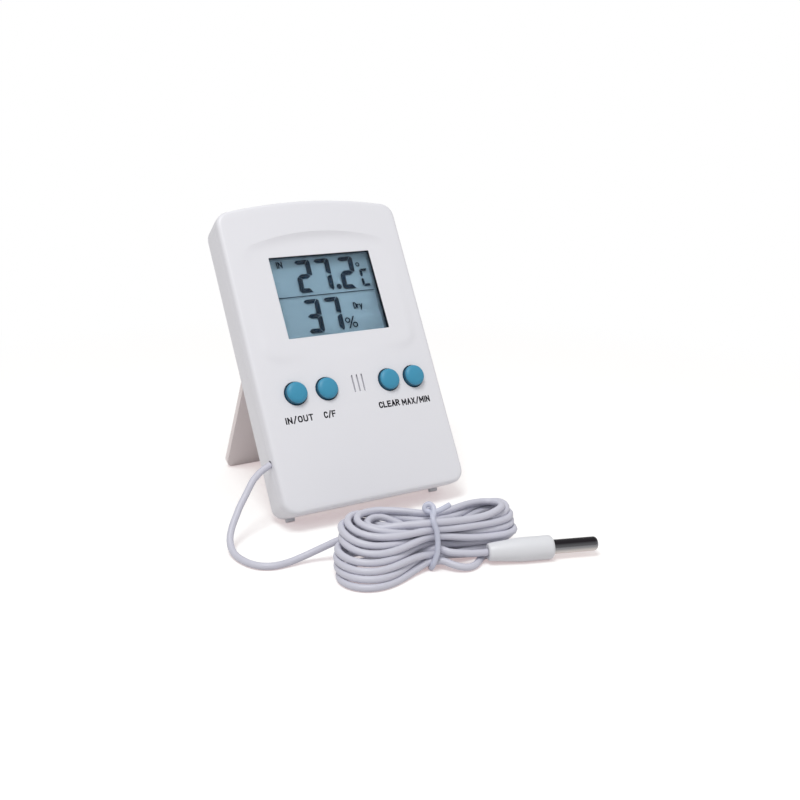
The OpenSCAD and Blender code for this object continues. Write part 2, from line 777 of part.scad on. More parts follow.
module cord_lead() {
    color("lavender") sweep(concat([on_table([grip_out, front_d, cord_hole_z]),
                                    on_table([-case_w / 2, front_d, cord_hole_z])], lead_run), cord_r);
}

// The point where a line from p touches a circle, on the side asked for
function touch(c, r, p, side) = let (v = p - c, a = atan2(v[1], v[0]) + side * acos(r / norm(v)))
    [c[0] + r * cos(a), c[1] + r * sin(a)];

// Outline of the hank from above: two round ends and the flanks drawn in to the tie
module hank_outline() {
    corners = [for (x = [-waist_half_l, waist_half_l], side = [1, -1]) [x, side * waist_w / 2]];
    translate(hank_left) circle(r = hank_left_r);
    translate(hank_right) circle(r = hank_right_r);
    polygon([touch(hank_left, hank_left_r, corners[0], 1), hank_left,
             touch(hank_left, hank_left_r, corners[1], -1), corners[1], corners[3],
             touch(hank_right, hank_right_r, corners[3], 1), hank_right,
             touch(hank_right, hank_right_r, corners[2], -1), corners[2], corners[0]]);
}

// Side view of the hank: flat below but for the tie's groove, rounded off at both ends
module hank_profile() {
    x0 = hank_left[0] - hank_left_r - cut;
    x1 = hank_right[0] + hank_right_r + cut;
    top = tie_t + waist_h;
    polygon([[x0, 0], [-3 * waist_half_l, 0], [-waist_half_l, tie_t],
             [waist_half_l, tie_t], [3 * waist_half_l, 0], [x1, 0],
             [x1, hank_right_h - 6], [x1 - 5, hank_right_h - 1], [x1 - 10, hank_right_h],
             [waist_half_l, top], [-waist_half_l, top], [x0 + 14, hank_left_h],
             [x0 + 6, hank_left_h - 1.5], [x0, hank_left_h - 7]]);
}

// Sets a piece of the hank on the table
module on_hank() {
    translate([hank_at[0], hank_at[1], 0]) rotate([0, 0, hank_turn]) children();
}

module cord_hank() {
    far = 2 * (hank_left_r + norm(hank_right));
    color("lavender") on_hank() intersection() {
        linear_extrude(hank_left_h + cut) hank_outline();
        slab(-far, far) hank_profile();
    }
}

module cord_tie() {
    half = waist_w / 2;
    top = tie_t + waist_h;
    knob_y = 1.5;
    color("lavender") on_hank() {
        difference() {
            block(-tie_t / 2, tie_t / 2, -half - tie_t, half + tie_t, 0, top + tie_t);
            block(-tie_t, tie_t, -half, half, tie_t, top);
        }
        translate([0, knob_y, top]) cylinder(h = tie_t + 1, r = tie_t * 0.9);
        translate([0, knob_y, top + tie_t]) rotate([0, 78, -hank_turn]) cylinder(h = 7, r = tie_t / 2);
    }
}

// A point on the probe's axis, and the probe's own frame with z along it
function probe_axis(s) = [probe_start[0] + s * cos(probe_turn), probe_start[1] + s * sin(probe_turn), sleeve_r];

module on_probe() {
    translate(probe_axis(0)) rotate([0, 90, probe_turn]) children();
}

module cord_tail() {
    color("lavender") sweep(concat(tail_run, [probe_axis(-2), probe_axis(0)]), cord_r);
}

module probe_sleeve() {
    color("white") on_probe() difference() {
        rotate_extrude($fn = 64) polygon(concat(
            [[0, 0], [sleeve_small_r - sleeve_edge, 0], [sleeve_small_r, sleeve_edge],
             [sleeve_r, sleeve_len / 2]],
            [for (a = [0 : 15 : 90]) [sleeve_r - sleeve_shoulder + sleeve_shoulder * cos(a),
                                     sleeve_len - sleeve_shoulder + sleeve_shoulder * sin(a)]],
            [[0, sleeve_len]]));
        translate([0, 0, sleeve_len - probe_in]) cylinder(h = probe_in + cut, r = probe_r);
    }
}

module probe_tube() {
    len = probe_in + probe_out;
    color("silver") on_probe() translate([0, 0, sleeve_len - probe_in])
        difference() {
            rotate_extrude($fn = 64) polygon(concat(
                [[0, 0], [probe_r, 0]],
                [for (a = [0 : 15 : 90]) [probe_r - probe_tip_round + probe_tip_round * cos(a),
                                         len - probe_tip_round + probe_tip_round * sin(a)]],
                [[0, len]]));
            translate([0, 0, -cut]) cylinder(h = len - probe_end_t + cut, r = probe_r - probe_wall);
        }
}

module probe_bead() {
    color("dimgray") on_probe() translate([0, 0, sleeve_len + probe_out - probe_end_t - bead_r])
        sphere(r = bead_r, $fn = 32);
}

front_case();
rear_case();
stand();
battery_door();
display_window();
lcd_panel();
lcd_holder();
zebra_strip();
circuit_board();
chip_blob();
crystal();
board_parts();
humidity_sensor();
air_thermistor();
keypad_mat();
button_cap(button_x[0]);  // button_in_out
button_cap(button_x[1]);  // button_unit
button_cap(button_x[2]);  // button_clear
button_cap(button_x[3]);  // button_max_min
plunger(button_x[0]);  // plunger_in_out
plunger(button_x[1]);  // plunger_unit
plunger(button_x[2]);  // plunger_clear
plunger(button_x[3]);  // plunger_max_min
battery_cell();
battery_spring();
battery_plate();
case_screws();
board_screws();
cord_grip();
cord_inner();
cord_lead();
cord_hank();
cord_tie();
cord_tail();
probe_sleeve();
probe_tube();
probe_bead();
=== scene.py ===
import math

import bmesh
import bpy
import numpy as np
from mathutils import Matrix, Vector
from mathutils.geometry import convex_hull_2d, delaunay_2d_cdt


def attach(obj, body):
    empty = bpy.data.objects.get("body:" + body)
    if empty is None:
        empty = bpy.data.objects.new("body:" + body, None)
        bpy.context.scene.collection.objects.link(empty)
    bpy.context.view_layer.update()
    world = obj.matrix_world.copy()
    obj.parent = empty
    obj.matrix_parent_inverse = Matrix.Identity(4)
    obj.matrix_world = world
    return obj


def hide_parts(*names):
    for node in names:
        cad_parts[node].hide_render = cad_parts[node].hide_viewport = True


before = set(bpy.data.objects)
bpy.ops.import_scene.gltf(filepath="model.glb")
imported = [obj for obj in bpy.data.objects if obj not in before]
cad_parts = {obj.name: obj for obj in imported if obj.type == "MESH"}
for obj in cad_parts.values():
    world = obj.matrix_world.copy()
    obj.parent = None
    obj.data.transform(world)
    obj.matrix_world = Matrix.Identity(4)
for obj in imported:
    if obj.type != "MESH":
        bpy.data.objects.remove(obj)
bpy.context.view_layer.update()
mm = 0.001


# ---- Camera ----
# The thermometer is seen from its front left and a little above, from about a third
# of a metre away, with the whole lead, its hank and the probe in view.
camera_at = Vector((-165.21, -331.07, 136.94)) * mm
looks_along = Vector((0.489578, 0.828318, -0.272402))
camera_data = bpy.data.cameras.new("camera")
camera_data.sensor_width = 36
camera_data.lens = 47.229
camera_data.clip_start = 0.01
camera = bpy.data.objects.new("camera", camera_data)
camera.matrix_world = (Matrix.Translation(camera_at)
                       @ looks_along.to_track_quat("-Z", "Y").to_matrix().to_4x4())
bpy.context.scene.collection.objects.link(camera)
bpy.context.scene.camera = camera
bpy.context.scene.view_settings.view_transform = "Standard"


# ---- Cord ----
# A thin two-core lead in pale grey vinyl. It leaves the left side of the case, drops to
# the table and is wound into a hank of nine turns, tied round its middle, before it
# runs on into the probe's sleeve.
cord_d = 2.25 * mm
cord_exit = Vector((-35, -26.315, 21.565)) * mm
lead_run = [(-38.4, -27, 20.3), (-40.5, -27.8, 19.2), (-42.5, -28.7, 17.9), (-45.7, -30.4, 14.4),
            (-48.7, -32.3, 11.5), (-50.4, -33.7, 9.6), (-52, -35.1, 8), (-53.4, -36.5, 6.4),
            (-54.8, -38.4, 4.4), (-55.5, -40.4, 2.8), (-55.8, -42.8, 1.7), (-55.8, -46, 1.2),
            (-55.5, -49, 1.2), (-54.4, -53.2, 1.2), (-52, -56.8, 1.2), (-48.4, -58.6, 1.2),
            (-43.6, -58.8, 1.4), (-38.6, -59, 2.4), (-34, -60.3, 4.2), (-29.7, -62.2, 6.3),
            (-26.5, -63.3, 7.4), (-23.5, -64.9, 8.2)]
tail_run = [(-4.5, -83.4, 5.7), (-2.5, -84.6, 5.4), (-0.8, -85.6, 5.1), (1.6, -86.4, 4.7),
            (3.9, -87, 4.3), (6, -87.2, 4), (7.914, -87.436, 3.8), (9.8, -88.1, 3.8)]
hank_at = np.array([-3.5, -78.3, 0])
hank_turn = math.radians(-28)
along_hank = np.array([[math.cos(hank_turn), math.sin(hank_turn), 0],
                       [-math.sin(hank_turn), math.cos(hank_turn), 0], [0, 0, 1]])
sleeve_at = np.array([9.8, -88.1, 3.8])
sleeve_turn = math.radians(-19.4)
sleeve_way = np.array([math.cos(sleeve_turn), math.sin(sleeve_turn), 0])
sleeve_end, sleeve_wide = 21.0, 3.8

# Each turn in the order wound: its place in the tie, then the loop left and right of the
# tie as its reach and the (across, height) of its front run, end and back run.
turns = [
    (4, (28.4, (-14.2, 8.8), (-2.8, 11.6), (4.8, 9.2)), (25.4, (3.6, 7.2), (8.6, 7.8), (13.8, 7.4))),
    (5, (28.4, (-11.8, 10.6), (-0.8, 13.6), (5.4, 11.2)), (24.9, (4.2, 9.2), (9.4, 9.4), (14.6, 9.4))),
    (6, (26.6, (-9.2, 12.4), (0.6, 14.8), (6.2, 12.8)), (24.4, (4.6, 11.2), (9.8, 11.2), (15.0, 11.1))),
    (7, (23.6, (-6.6, 13.7), (1.0, 15.0), (5.8, 14.2)), (23.8, (5.6, 12.8), (10.4, 12.4), (15.2, 12.6))),
    (8, (20.4, (-4.9, 12.7), (-0.2, 12.9), (4.8, 12.6)), (22.0, (4.2, 13.1), (9.0, 13.1), (13.6, 13.3))),
    (3, (29.4, (-16.4, 7.1), (-7.0, 8.3), (3.2, 7.3)), (24.8, (4.0, 5.1), (9.2, 5.6), (14.6, 6.2))),
    (2, (30.0, (-18.2, 5.2), (-7.6, 5.8), (3.4, 5.1)), (23.6, (4.2, 3.2), (9.2, 3.7), (14.2, 4.1))),
    (1, (29.8, (-19.4, 3.4), (-8.6, 3.4), (2.4, 3.0)), (22.0, (4.4, 1.4), (9.4, 1.5), (14.2, 2.0))),
    (0, (29.2, (-20.6, 1.2), (-11.0, 1.2), (-1.5, 1.4)), None)]
front_slots = [(-5.4, 1.95), (-3.2, 3.0), (-4.9, 4.6), (-2.3, 5.8), (-4.5, 9.4), (-2.2, 8.2),
               (-4.4, 11.8), (-2.2, 10.7), (-3.4, 14.0)]
tail_slot = (-4.9, 5.4)
floor_loop = [(4, 2.4, 1.9), (10, 7.8, 1.5), (16.6, 12.0, 1.2), (21.9, 11.6, 1.2), (24.6, 7.8, 1.2),
              (23.6, 3.6, 1.2), (19.8, 0.8, 1.2), (16.4, -2.0, 1.2), (14.6, -5.6, 1.2), (12.0, -8.6, 1.2),
              (8.6, -9.4, 1.2), (5.4, -8.6, 1.2), (2.6, -7.0, 1.5)]


def back_slot(place):
    """Where a turn passes through the back of the tie, in three columns."""
    return [0.3, 2.5, 4.5][place % 3], 2.6 + 1.42 * place


def parting(slot, run, steps=6):
    """From a slot in the tie out to a loop's run, in the hank's own frame."""
    out = []
    for i in range(1, steps + 1):
        t = i / steps
        s = t * t * (3 - 2 * t)
        out.append((run[0] * t, slot[0] + (run[1] - slot[0]) * s, slot[1] + (run[2] - slot[1]) * s))
    return out


def loop(side, reach, out_run, end, home_run, out_slot, home_slot):
    """One loop from the tie, round its end and home to the tie."""
    rounding = math.dist(out_run, home_run) / 2
    near = side * (reach - rounding)
    points = parting(out_slot, (near, *out_run))
    for i in range(1, 13):
        a = math.pi * i / 12
        run = out_run if i <= 6 else home_run
        w = abs(math.cos(a))
        points.append((near + side * rounding * math.sin(a),
                       end[0] + (run[0] - end[0]) * w, end[1] + (run[1] - end[1]) * w))
    return points + parting(home_slot, (near, *home_run))[-2::-1] + [(0, *home_slot)]


def hank_route():
    """The turns of the hank in their order, from the lead to the tail."""
    first = turns[0][0]
    points = parting(back_slot(first), (-18, 3.5, 8.0), 4)[-2::-1] + [(0, *back_slot(first))]
    for i, (place, left, right) in enumerate(turns):
        if right:
            points += loop(1, right[0], right[3], right[2], right[1], back_slot(place), front_slots[place])
        else:
            points += floor_loop + [(0, *front_slots[place])]
        home = back_slot(turns[i + 1][0]) if i + 1 < len(turns) else tail_slot
        points += loop(-1, *left, front_slots[place], home)
    return hank_at + np.array(points) @ along_hank


def evenly(points, step):
    """A smooth curve through the points, cut into even steps."""
    p = np.array(points, float)
    p = np.vstack([2 * p[0] - p[1], p, 2 * p[-1] - p[-2]])
    fine = []
    for a, b, c, d in zip(p[:-3], p[1:-2], p[2:-1], p[3:]):
        for t in np.arange(0, 1, 1 / 12):
            fine.append(0.5 * (2 * b + (c - a) * t + (2 * a - 5 * b + 4 * c - d) * t * t
                               + (3 * b - a - 3 * c + d) * t ** 3))
    fine = np.array(fine + [p[-2]])
    gone = np.concatenate([[0], np.cumsum(np.linalg.norm(np.diff(fine, axis=0), axis=1))])
    places = np.linspace(0, gone[-1], int(round(gone[-1] / step)) + 1)
    return np.stack([np.interp(places, gone, fine[:, k]) for k in range(3)], 1)


def length_of(points):
    """Length along a run of points, in millimetres."""
    return float(np.linalg.norm(np.diff(np.array(points, float), axis=0), axis=1).sum())


def settle(route, held, rounds):
    """Lets the strands push each other apart, straighten their kinks and rest on the table."""
    p = route.copy()
    start = route.copy()
    free = (~held).astype(float)[:, None]
    count = np.arange(len(p))
    same = np.abs(count[:, None] - count[None, :]) < 5
    gap = cord_d / mm + 0.02
    half = cord_d / mm / 2 + 0.025
    step = np.linalg.norm(np.diff(p, axis=0), axis=1).mean()

    def push_apart(room, share):
        apart = p[:, None, :] - p[None, :, :]
        far = np.linalg.norm(apart, axis=2)
        hit = (far < room) & ~same
        push = np.where(hit, (room - far) / np.maximum(far, 1e-3) * 0.5, 0)
        p[:] += free * (apart * push[:, :, None]).sum(1) / np.sqrt(np.maximum(hit.sum(1), 1))[:, None] * share

    def hold_length():
        piece = p[1:] - p[:-1]
        long = np.linalg.norm(piece, axis=1, keepdims=True)
        pull = 0.25 * (long - step) / long * piece
        p[:-1] += pull * free[:-1]
        p[1:] -= pull * free[1:]

    for i in range(rounds):
        for _ in range(6):
            bend = np.zeros_like(p)
            bend[1:-1] = 0.5 * (p[:-2] + p[2:]) - p[1:-1]
            kink = np.zeros_like(p)
            kink[2:-2] = bend[2:-2] - 0.5 * (bend[1:-3] + bend[3:-1])
            p += free * 0.2 * kink
        p += free * 0.02 * (1 - i / rounds) * (start - p)
        push_apart(gap, 0.9)
        for _ in range(2):
            hold_length()
        p[:, 2] = np.maximum(p[:, 2], half)
        # Clear of the probe's sleeve
        rel = p - sleeve_at
        t = rel @ sleeve_way
        radial = rel - t[:, None] * sleeve_way
        off = np.linalg.norm(radial, axis=1)
        need = np.interp(t, [0, sleeve_end / 2], [2.8, sleeve_wide]) + half
        inside = (t > -1) & (t < sleeve_end) & (off < need) & ~held
        p[inside] += radial[inside] / off[inside, None] * (need - off)[inside, None]
        # Within the tie
        own = (p - hank_at) @ along_hank.T
        tied = (np.abs(own[:, 0]) < 1.3) & ~held
        front = np.where(own[:, 2] > 5.5, -3.4, -5.6)
        own[tied, 1] = np.clip(own[tied, 1], front[tied], 4.6)
        own[tied, 2] = np.clip(own[tied, 2], 2.75, 14.7)
        p[tied] = hank_at + own[tied] @ along_hank
    # A limp lead still folds no tighter than twice its thickness
    for i in range(200):
        for reach, most in ((2, 1.05), (1, 0.27)):
            sag = 0.5 * (p[:-2 * reach] + p[2 * reach:]) - p[reach:-reach]
            deep = np.linalg.norm(sag, axis=1, keepdims=True)
            give = sag * np.maximum(deep - most, 0) / np.maximum(deep, 1e-6)
            p[reach:-reach] += free[reach:-reach] * 0.4 * give
            p[:-2 * reach] -= free[:-2 * reach] * 0.25 * give
            p[2 * reach:] -= free[2 * reach:] * 0.25 * give
        for _ in range(2):
            hold_length()
        if i % 4 == 0:
            push_apart(gap - 0.12, 0.6)
        p[:, 2] = np.maximum(p[:, 2], half)
    return p


route = evenly([tuple(cord_exit / mm)] + lead_run + [tuple(p) for p in hank_route()] + tail_run, 1.6)
gone = np.concatenate([[0], np.cumsum(np.linalg.norm(np.diff(route, axis=0), axis=1))])
held = (gone < length_of(lead_run)) | (gone > gone[-1] - length_of(tail_run) + 2)
route = settle(route, held, 240)


def strand(name, r, *runs):
    """Round strands of this radius along runs of points, closed where a run ends at its start."""
    curve = bpy.data.curves.new(name, "CURVE")
    curve.dimensions = "3D"
    curve.bevel_depth = r
    curve.bevel_resolution = 5
    curve.use_fill_caps = True
    for run in runs:
        closed = np.allclose(run[0], run[-1])
        line = curve.splines.new("POLY")
        line.points.add(len(run) - 1 - closed)
        line.use_cyclic_u = closed
        line.use_smooth = True
        for point, place in zip(line.points, run):
            point.co = (*(np.array(place) * mm), 1)
    made = bpy.data.objects.new(name, curve)
    bpy.context.scene.collection.objects.link(made)
    return made


cord = strand("cord", cord_d / 2, route)


def tone(r, g, b):
    """A paint or plastic colour given as the 0 to 255 values of a colour card."""
    levels = [c / 255 / 12.92 if c <= 10 else ((c / 255 + 0.055) / 1.055) ** 2.4 for c in (r, g, b)]
    return (*levels, 1)


def group(name, takes, gives):
    """An empty shader node group with its named inputs and outputs."""
    tree = bpy.data.node_groups.new(name, "ShaderNodeTree")
    for label, kind, value in takes:
        socket = tree.interface.new_socket(label, in_out="INPUT", socket_type=kind)
        socket.default_value = value
    for label, kind in gives:
        tree.interface.new_socket(label, in_out="OUTPUT", socket_type=kind)
    return tree, tree.nodes.new("NodeGroupInput"), tree.nodes.new("NodeGroupOutput")


def node(tree, kind, links=(), **settings):
    """Adds a node, sets its plain values and links its inputs."""
    made = tree.nodes.new(kind)
    for key, value in settings.items():
        setattr(made, key, value)
    for target, source in links:
        if hasattr(source, "links"):
            tree.links.new(source, made.inputs[target])
        else:
            made.inputs[target].default_value = source
    return made


# Fine unevenness of a moulded or drawn surface: a slow mottle in the colour, a change of
# gloss, and a fine grain to feed a bump
grain_group, takes, gives = group(
    "moulded_grain",
    [("Color", "NodeSocketColor", (1, 1, 1, 1)), ("Mottle", "NodeSocketFloat", 0.03),
     ("Roughness", "NodeSocketFloat", 0.4), ("Gloss spread", "NodeSocketFloat", 0.08),
     ("Mottle size", "NodeSocketFloat", 60.0), ("Grain size", "NodeSocketFloat", 2500.0)],
    [("Color", "NodeSocketColor"), ("Roughness", "NodeSocketFloat"), ("Height", "NodeSocketFloat")])
where = node(grain_group, "ShaderNodeTexCoord")
slow = node(grain_group, "ShaderNodeTexNoise", [("Vector", where.outputs["Object"]),
            ("Scale", takes.outputs["Mottle size"]), ("Detail", 4.0), ("Roughness", 0.6)])
fine = node(grain_group, "ShaderNodeTexNoise", [("Vector", where.outputs["Object"]),
            ("Scale", takes.outputs["Grain size"]), ("Detail", 3.0), ("Roughness", 0.55)])
swing = node(grain_group, "ShaderNodeMath", [(0, slow.outputs["Fac"]), (1, 0.5)], operation="SUBTRACT")
shade = node(grain_group, "ShaderNodeMath", [(0, swing.outputs[0]), (1, takes.outputs["Mottle"]), (2, 1.0)],
             operation="MULTIPLY_ADD")
tint = node(grain_group, "ShaderNodeVectorMath", [(0, takes.outputs["Color"])], operation="SCALE")
grain_group.links.new(shade.outputs[0], tint.inputs["Scale"])
gloss = node(grain_group, "ShaderNodeMath", [(0, swing.outputs[0]), (1, takes.outputs["Gloss spread"]),
             (2, takes.outputs["Roughness"])], operation="MULTIPLY_ADD")
grain_group.links.new(tint.outputs[0], gives.inputs["Color"])
grain_group.links.new(gloss.outputs[0], gives.inputs["Roughness"])
grain_group.links.new(fine.outputs["Fac"], gives.inputs["Height"])


def moulded(name, color, roughness=0.4, spread=0.08, mottle=0.03, mottle_size=60.0, grain=2500.0,
            depth=0.01, **plain):
    """A material with the fine unevenness above; plain values go on the shader itself."""
    made = bpy.data.materials.new(name)
    made.use_nodes = True
    tree = made.node_tree
    shader = tree.nodes["Principled BSDF"]
    surface = node(tree, "ShaderNodeGroup", node_tree=grain_group)
    for label, value in (("Color", color), ("Mottle", mottle), ("Roughness", roughness),
                         ("Gloss spread", spread), ("Mottle size", mottle_size), ("Grain size", grain)):
        surface.inputs[label].default_value = value
    bump = node(tree, "ShaderNodeBump", [("Height", surface.outputs["Height"]), ("Strength", 0.3),
                ("Distance", depth * mm)])
    tree.links.new(surface.outputs["Color"], shader.inputs["Base Color"])
    tree.links.new(surface.outputs["Roughness"], shader.inputs["Roughness"])
    tree.links.new(bump.outputs[0], shader.inputs["Normal"])
    for label, value in plain.items():
        shader.inputs[label.replace("_", " ")].default_value = value
    return made


cord_vinyl = moulded("cord_vinyl", tone(208, 208, 220), 0.42, 0.1, 0.05, 90, 1800, 0.012)
cord.data.materials.append(cord_vinyl)
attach(cord, "case")
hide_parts("cord_lead", "cord_hank", "cord_tail")


# ---- Tie ----
# A short piece of round vinyl tie, passed once round the middle of the hank and drawn
# tight. Its ends are twisted into an eye on top, and one of them stands off to the right.
tie_r = 0.85
in_hank = (route - hank_at) @ along_hank.T
waist = in_hank[np.abs(in_hank[:, 0]) < 1.2][:, 1:]
around = [Vector((y + (cord_d / mm / 2 + tie_r) * math.cos(a), z + (cord_d / mm / 2 + tie_r) * math.sin(a)))
          for y, z in waist for a in np.arange(0, math.tau, math.pi / 12)]
drawn = convex_hull_2d(around)
drawn = np.array([around[i] for i in drawn + drawn[:1]])
gone = np.concatenate([[0], np.cumsum(np.linalg.norm(np.diff(drawn, axis=0), axis=1))])
places = np.linspace(0, gone[-1], 90)
loop_y, loop_z = (np.interp(places, gone, drawn[:, k]) for k in (0, 1))
loop_x = np.interp(loop_z, (0.8, 5.5, 9, 12.5, 15.5), (-1.4, 0.4, 0.6, 0.3, -0.8))
eye = evenly([(-0.7, -3.0, 15.9), (-0.3, -1.4, 16.7), (-0.5, 0.2, 18.0), (-1.6, 0.9, 18.7), (-2.8, 0.9, 18.1),
              (-2.9, 0.5, 17.0), (-1.9, 0.1, 16.5), (-0.6, -0.5, 16.5), (0.8, -0.6, 16.9), (2.8, 0.3, 17.5),
              (4.75, 1.5, 18.1)], 0.35)
tie = strand("tie", tie_r * mm, hank_at + np.stack([loop_x, loop_y, loop_z], 1) @ along_hank,
             hank_at + eye @ along_hank)
tie.data.materials.append(moulded("tie_vinyl", tone(202, 205, 222), 0.36, 0.08, 0.04, 140, 2400, 0.01))
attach(tie, "case")
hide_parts("cord_tie")


# ---- Probe ----
# A white vinyl sleeve moulded on the end of the cord, with a closed tube of stainless
# steel pressed into it and the sensing bead in the tube's tip.
sleeve_vinyl = moulded("sleeve_vinyl", tone(230, 231, 235), 0.38, 0.08, 0.02, 80, 2200, 0.01)
tube_r, tube_out = 2.25, 14.5


def smooth(piece, corner=30.0):
    """Shades the piece smooth, apart from its sharp corners."""
    mesh = piece.data
    mesh.polygons.foreach_set("use_smooth", [True] * len(mesh.polygons))
    mesh.set_sharp_from_angle(angle=math.radians(corner))


def dressed(name, material):
    """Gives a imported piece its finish."""
    for held_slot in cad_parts[name].material_slots:
        held_slot.material = material


class Form:
    """The points and faces of a piece, in millimetres, in a frame of its own."""

    def __init__(self):
        self.points, self.faces, self.finish, self.crisp = [], [], [], []

    def ring(self, flat, depth):
        """Adds a closed outline at one depth or at a depth for each point."""
        first = len(self.points)
        self.points += [(x, float(y), z) for (x, z), y in zip(flat, np.broadcast_to(depth, len(flat)))]
        return list(range(first, len(self.points)))

    def band(self, front, back, finish=0):
        """Joins two rings; it faces inwards where the first lies nearer the front."""
        for i in range(len(front)):
            j = (i + 1) % len(front)
            self.faces.append((front[i], front[j], back[j], back[i]))
            self.finish.append(finish)

    def cap(self, ring, finish=0):
        """Closes a ring with one face."""
        self.faces.append(tuple(ring))
        self.finish.append(finish)

    def turned(self, profile, x=0.0, z=0.0, steps=48, finish=0):
        """Turns a profile of (radius, depth) points round an axis that runs back from (x, z)."""
        rings = []
        for r, y in profile:
            if r:
                turn = [math.tau * i / steps for i in range(steps)]
                rings.append(self.ring([(x + r * math.cos(a), z + r * math.sin(a)) for a in turn], y))
            else:
                rings.append(self.ring([(x, z)], y) * steps)
        for front, back in zip(rings[:-1], rings[1:]):
            for i in range(steps):
                corners = dict.fromkeys((front[i], back[i], back[i - 1], front[i - 1]))
                self.faces.append(tuple(corners))
                self.finish.append(finish)

    def made(self, name, materials, place, corner=30.0):
        """The finished piece, put in its place and shaded smooth up to its corners."""
        mesh = bpy.data.meshes.new(name)
        form = bmesh.new()
        verts = [form.verts.new(place @ Vector(p)) for p in self.points]
        for face, finish in zip(self.faces, self.finish):
            form.faces.new([verts[i] for i in face]).material_index = finish
        crisp = [verts[i] for i in self.crisp]
        for vert in crisp:
            vert.tag = True
        bmesh.ops.remove_doubles(form, verts=form.verts, dist=2e-7)
        form.edges.index_update()
        sharp = {edge.index for edge in form.edges if edge.verts[0].tag and edge.verts[1].tag}
        form.to_mesh(mesh)
        form.free()
        for material in materials:
            mesh.materials.append(material)
        piece = bpy.data.objects.new(name, mesh)
        bpy.context.scene.collection.objects.link(piece)
        smooth(piece, corner)
        for i in sharp:
            mesh.edges[i].use_edge_sharp = True
        return piece


def rounded_end(r, at, bend, steps=8):
    """The rounded rim of a turned profile that ends at this place."""
    turn = [math.pi / 2 * i / steps for i in range(steps + 1)]
    return [(r - bend + bend * math.cos(a), at - bend + bend * math.sin(a)) for a in turn]


# The probe's own frame, with y along it from the cord's end of the sleeve
on_probe = (Matrix.Translation(Vector(sleeve_at) * mm) @ Matrix.Rotation(sleeve_turn - math.pi / 2, 4, "Z")
            @ Matrix.Diagonal((mm, mm, mm, 1)))
sleeve = Form()
cord_end = [(1.13, 1.6), (1.13, 0.3), (1.4, 0), (2.3, 0), (2.65, 0.15), (2.8, 0.5)]
taper = [(3.05, 3.0), (3.3, 5.5), (3.55, 8.0), (3.74, 9.8), (sleeve_wide, 11.5), (sleeve_wide, 15.0)]
tube_hole = [(tube_r + 0.06, sleeve_end), (tube_r + 0.02, sleeve_end - 0.4), (tube_r + 0.02, sleeve_end - 2)]
sleeve.turned(cord_end + taper + rounded_end(sleeve_wide, sleeve_end, 1.6) + tube_hole, steps=64)
sleeve = sleeve.made("sleeve", [sleeve_vinyl], on_probe, 50)
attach(sleeve, "case")
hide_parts("probe_sleeve")
probe_steel = moulded("probe_steel", tone(158, 154, 152), 0.2, 0.06, 0.05, 150, 3500, 0.004, Metallic=1.0)
tree = probe_steel.node_tree
# Painted reflection: the steel's colour is graded by height, light along the tube's underside and dark along
# its top, standing in for the bright table and the darker room seen in it.
spot = node(tree, "ShaderNodeTexCoord")
parts = node(tree, "ShaderNodeSeparateXYZ", [(0, spot.outputs["Object"])])
painted_reflection = node(tree, "ShaderNodeValToRGB")
stops = painted_reflection.color_ramp.elements
for place, color in ((0.0, tone(218, 211, 208)), (0.28, tone(186, 181, 179)), (0.5, tone(130, 129, 132)),
                     (0.74, tone(110, 110, 114)), (0.86, tone(54, 50, 55)), (1.0, tone(62, 59, 64))):
    stop = stops[0] if place == 0 else stops[-1] if place == 1 else stops.new(place)
    stop.position, stop.color = place, color
height = node(tree, "ShaderNodeMapRange", [("Value", parts.outputs["Z"]),
              ("From Min", (sleeve_at[2] - tube_r) * mm), ("From Max", (sleeve_at[2] + tube_r) * mm)])
tree.links.new(height.outputs[0], painted_reflection.inputs[0])
tree.links.new(painted_reflection.outputs[0], next(n for n in tree.nodes if n.type == "GROUP").inputs["Color"])
tube = Form()
tube_end = sleeve_end + tube_out
tube.turned([(tube_r, sleeve_end - 10)] + rounded_end(tube_r, tube_end, 1.2) + [(0, tube_end)], steps=64)
tube = tube.made("tube", [probe_steel], on_probe, 60)
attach(tube, "case")
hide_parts("probe_tube")
bead_epoxy = moulded("thermistor_epoxy", tone(40, 40, 42), 0.35)
dressed("probe_bead", bead_epoxy)


# ---- Front shell ----
# The front half of the case, moulded in white ABS. Its face is slightly crowned across the
# width, and the flat panel round the display sits in it, flush at its lower edge and sunk
# at its upper edge, where a scooped brow runs down to it.
case_plastic = moulded("case_plastic", tone(236, 236, 241), 0.4, 0.06, 0.012, 45, 2600, 0.012)
mask_black = moulded("mask_black", tone(30, 38, 48), 0.5, 0.08, 0.05, 90, 2500, 0.006,
                     Specular_IOR_Level=0.15)
upright = (Matrix.Translation(Vector((0, -39.652929, 7.741097)) * mm)
           @ Matrix.Rotation(math.radians(-29.506006), 4, "X") @ Matrix.Diagonal((mm, mm, mm, 1)))
half_w = 35.0
edge_r = 1.4
parting_y = 4.8
face_crown = 1.0
window_x, window_z = 0.25, 74.4
button_z = 40.3
button_x = (-21.85, -10.25, 14.15, 24.4)
cord_hole_z, cord_hole_r = 18.6, 1.305
panel_low, panel_top = 53.8, 98.0


def arc(x, z, r, start, stop, steps):
    """Points on a round stretch about (x, z), its angles in degrees."""
    turn = [math.radians(start + (stop - start) * i / steps) for i in range(steps + 1)]
    return [(x + r * math.cos(a), z + r * math.sin(a)) for a in turn]


def run_to(points, end, steps):
    """Carries an outline straight on to a point, in even steps."""
    x, z = points[-1]
    points += [(x + (end[0] - x) * i / steps, z + (end[1] - z) * i / steps) for i in range(1, steps + 1)]


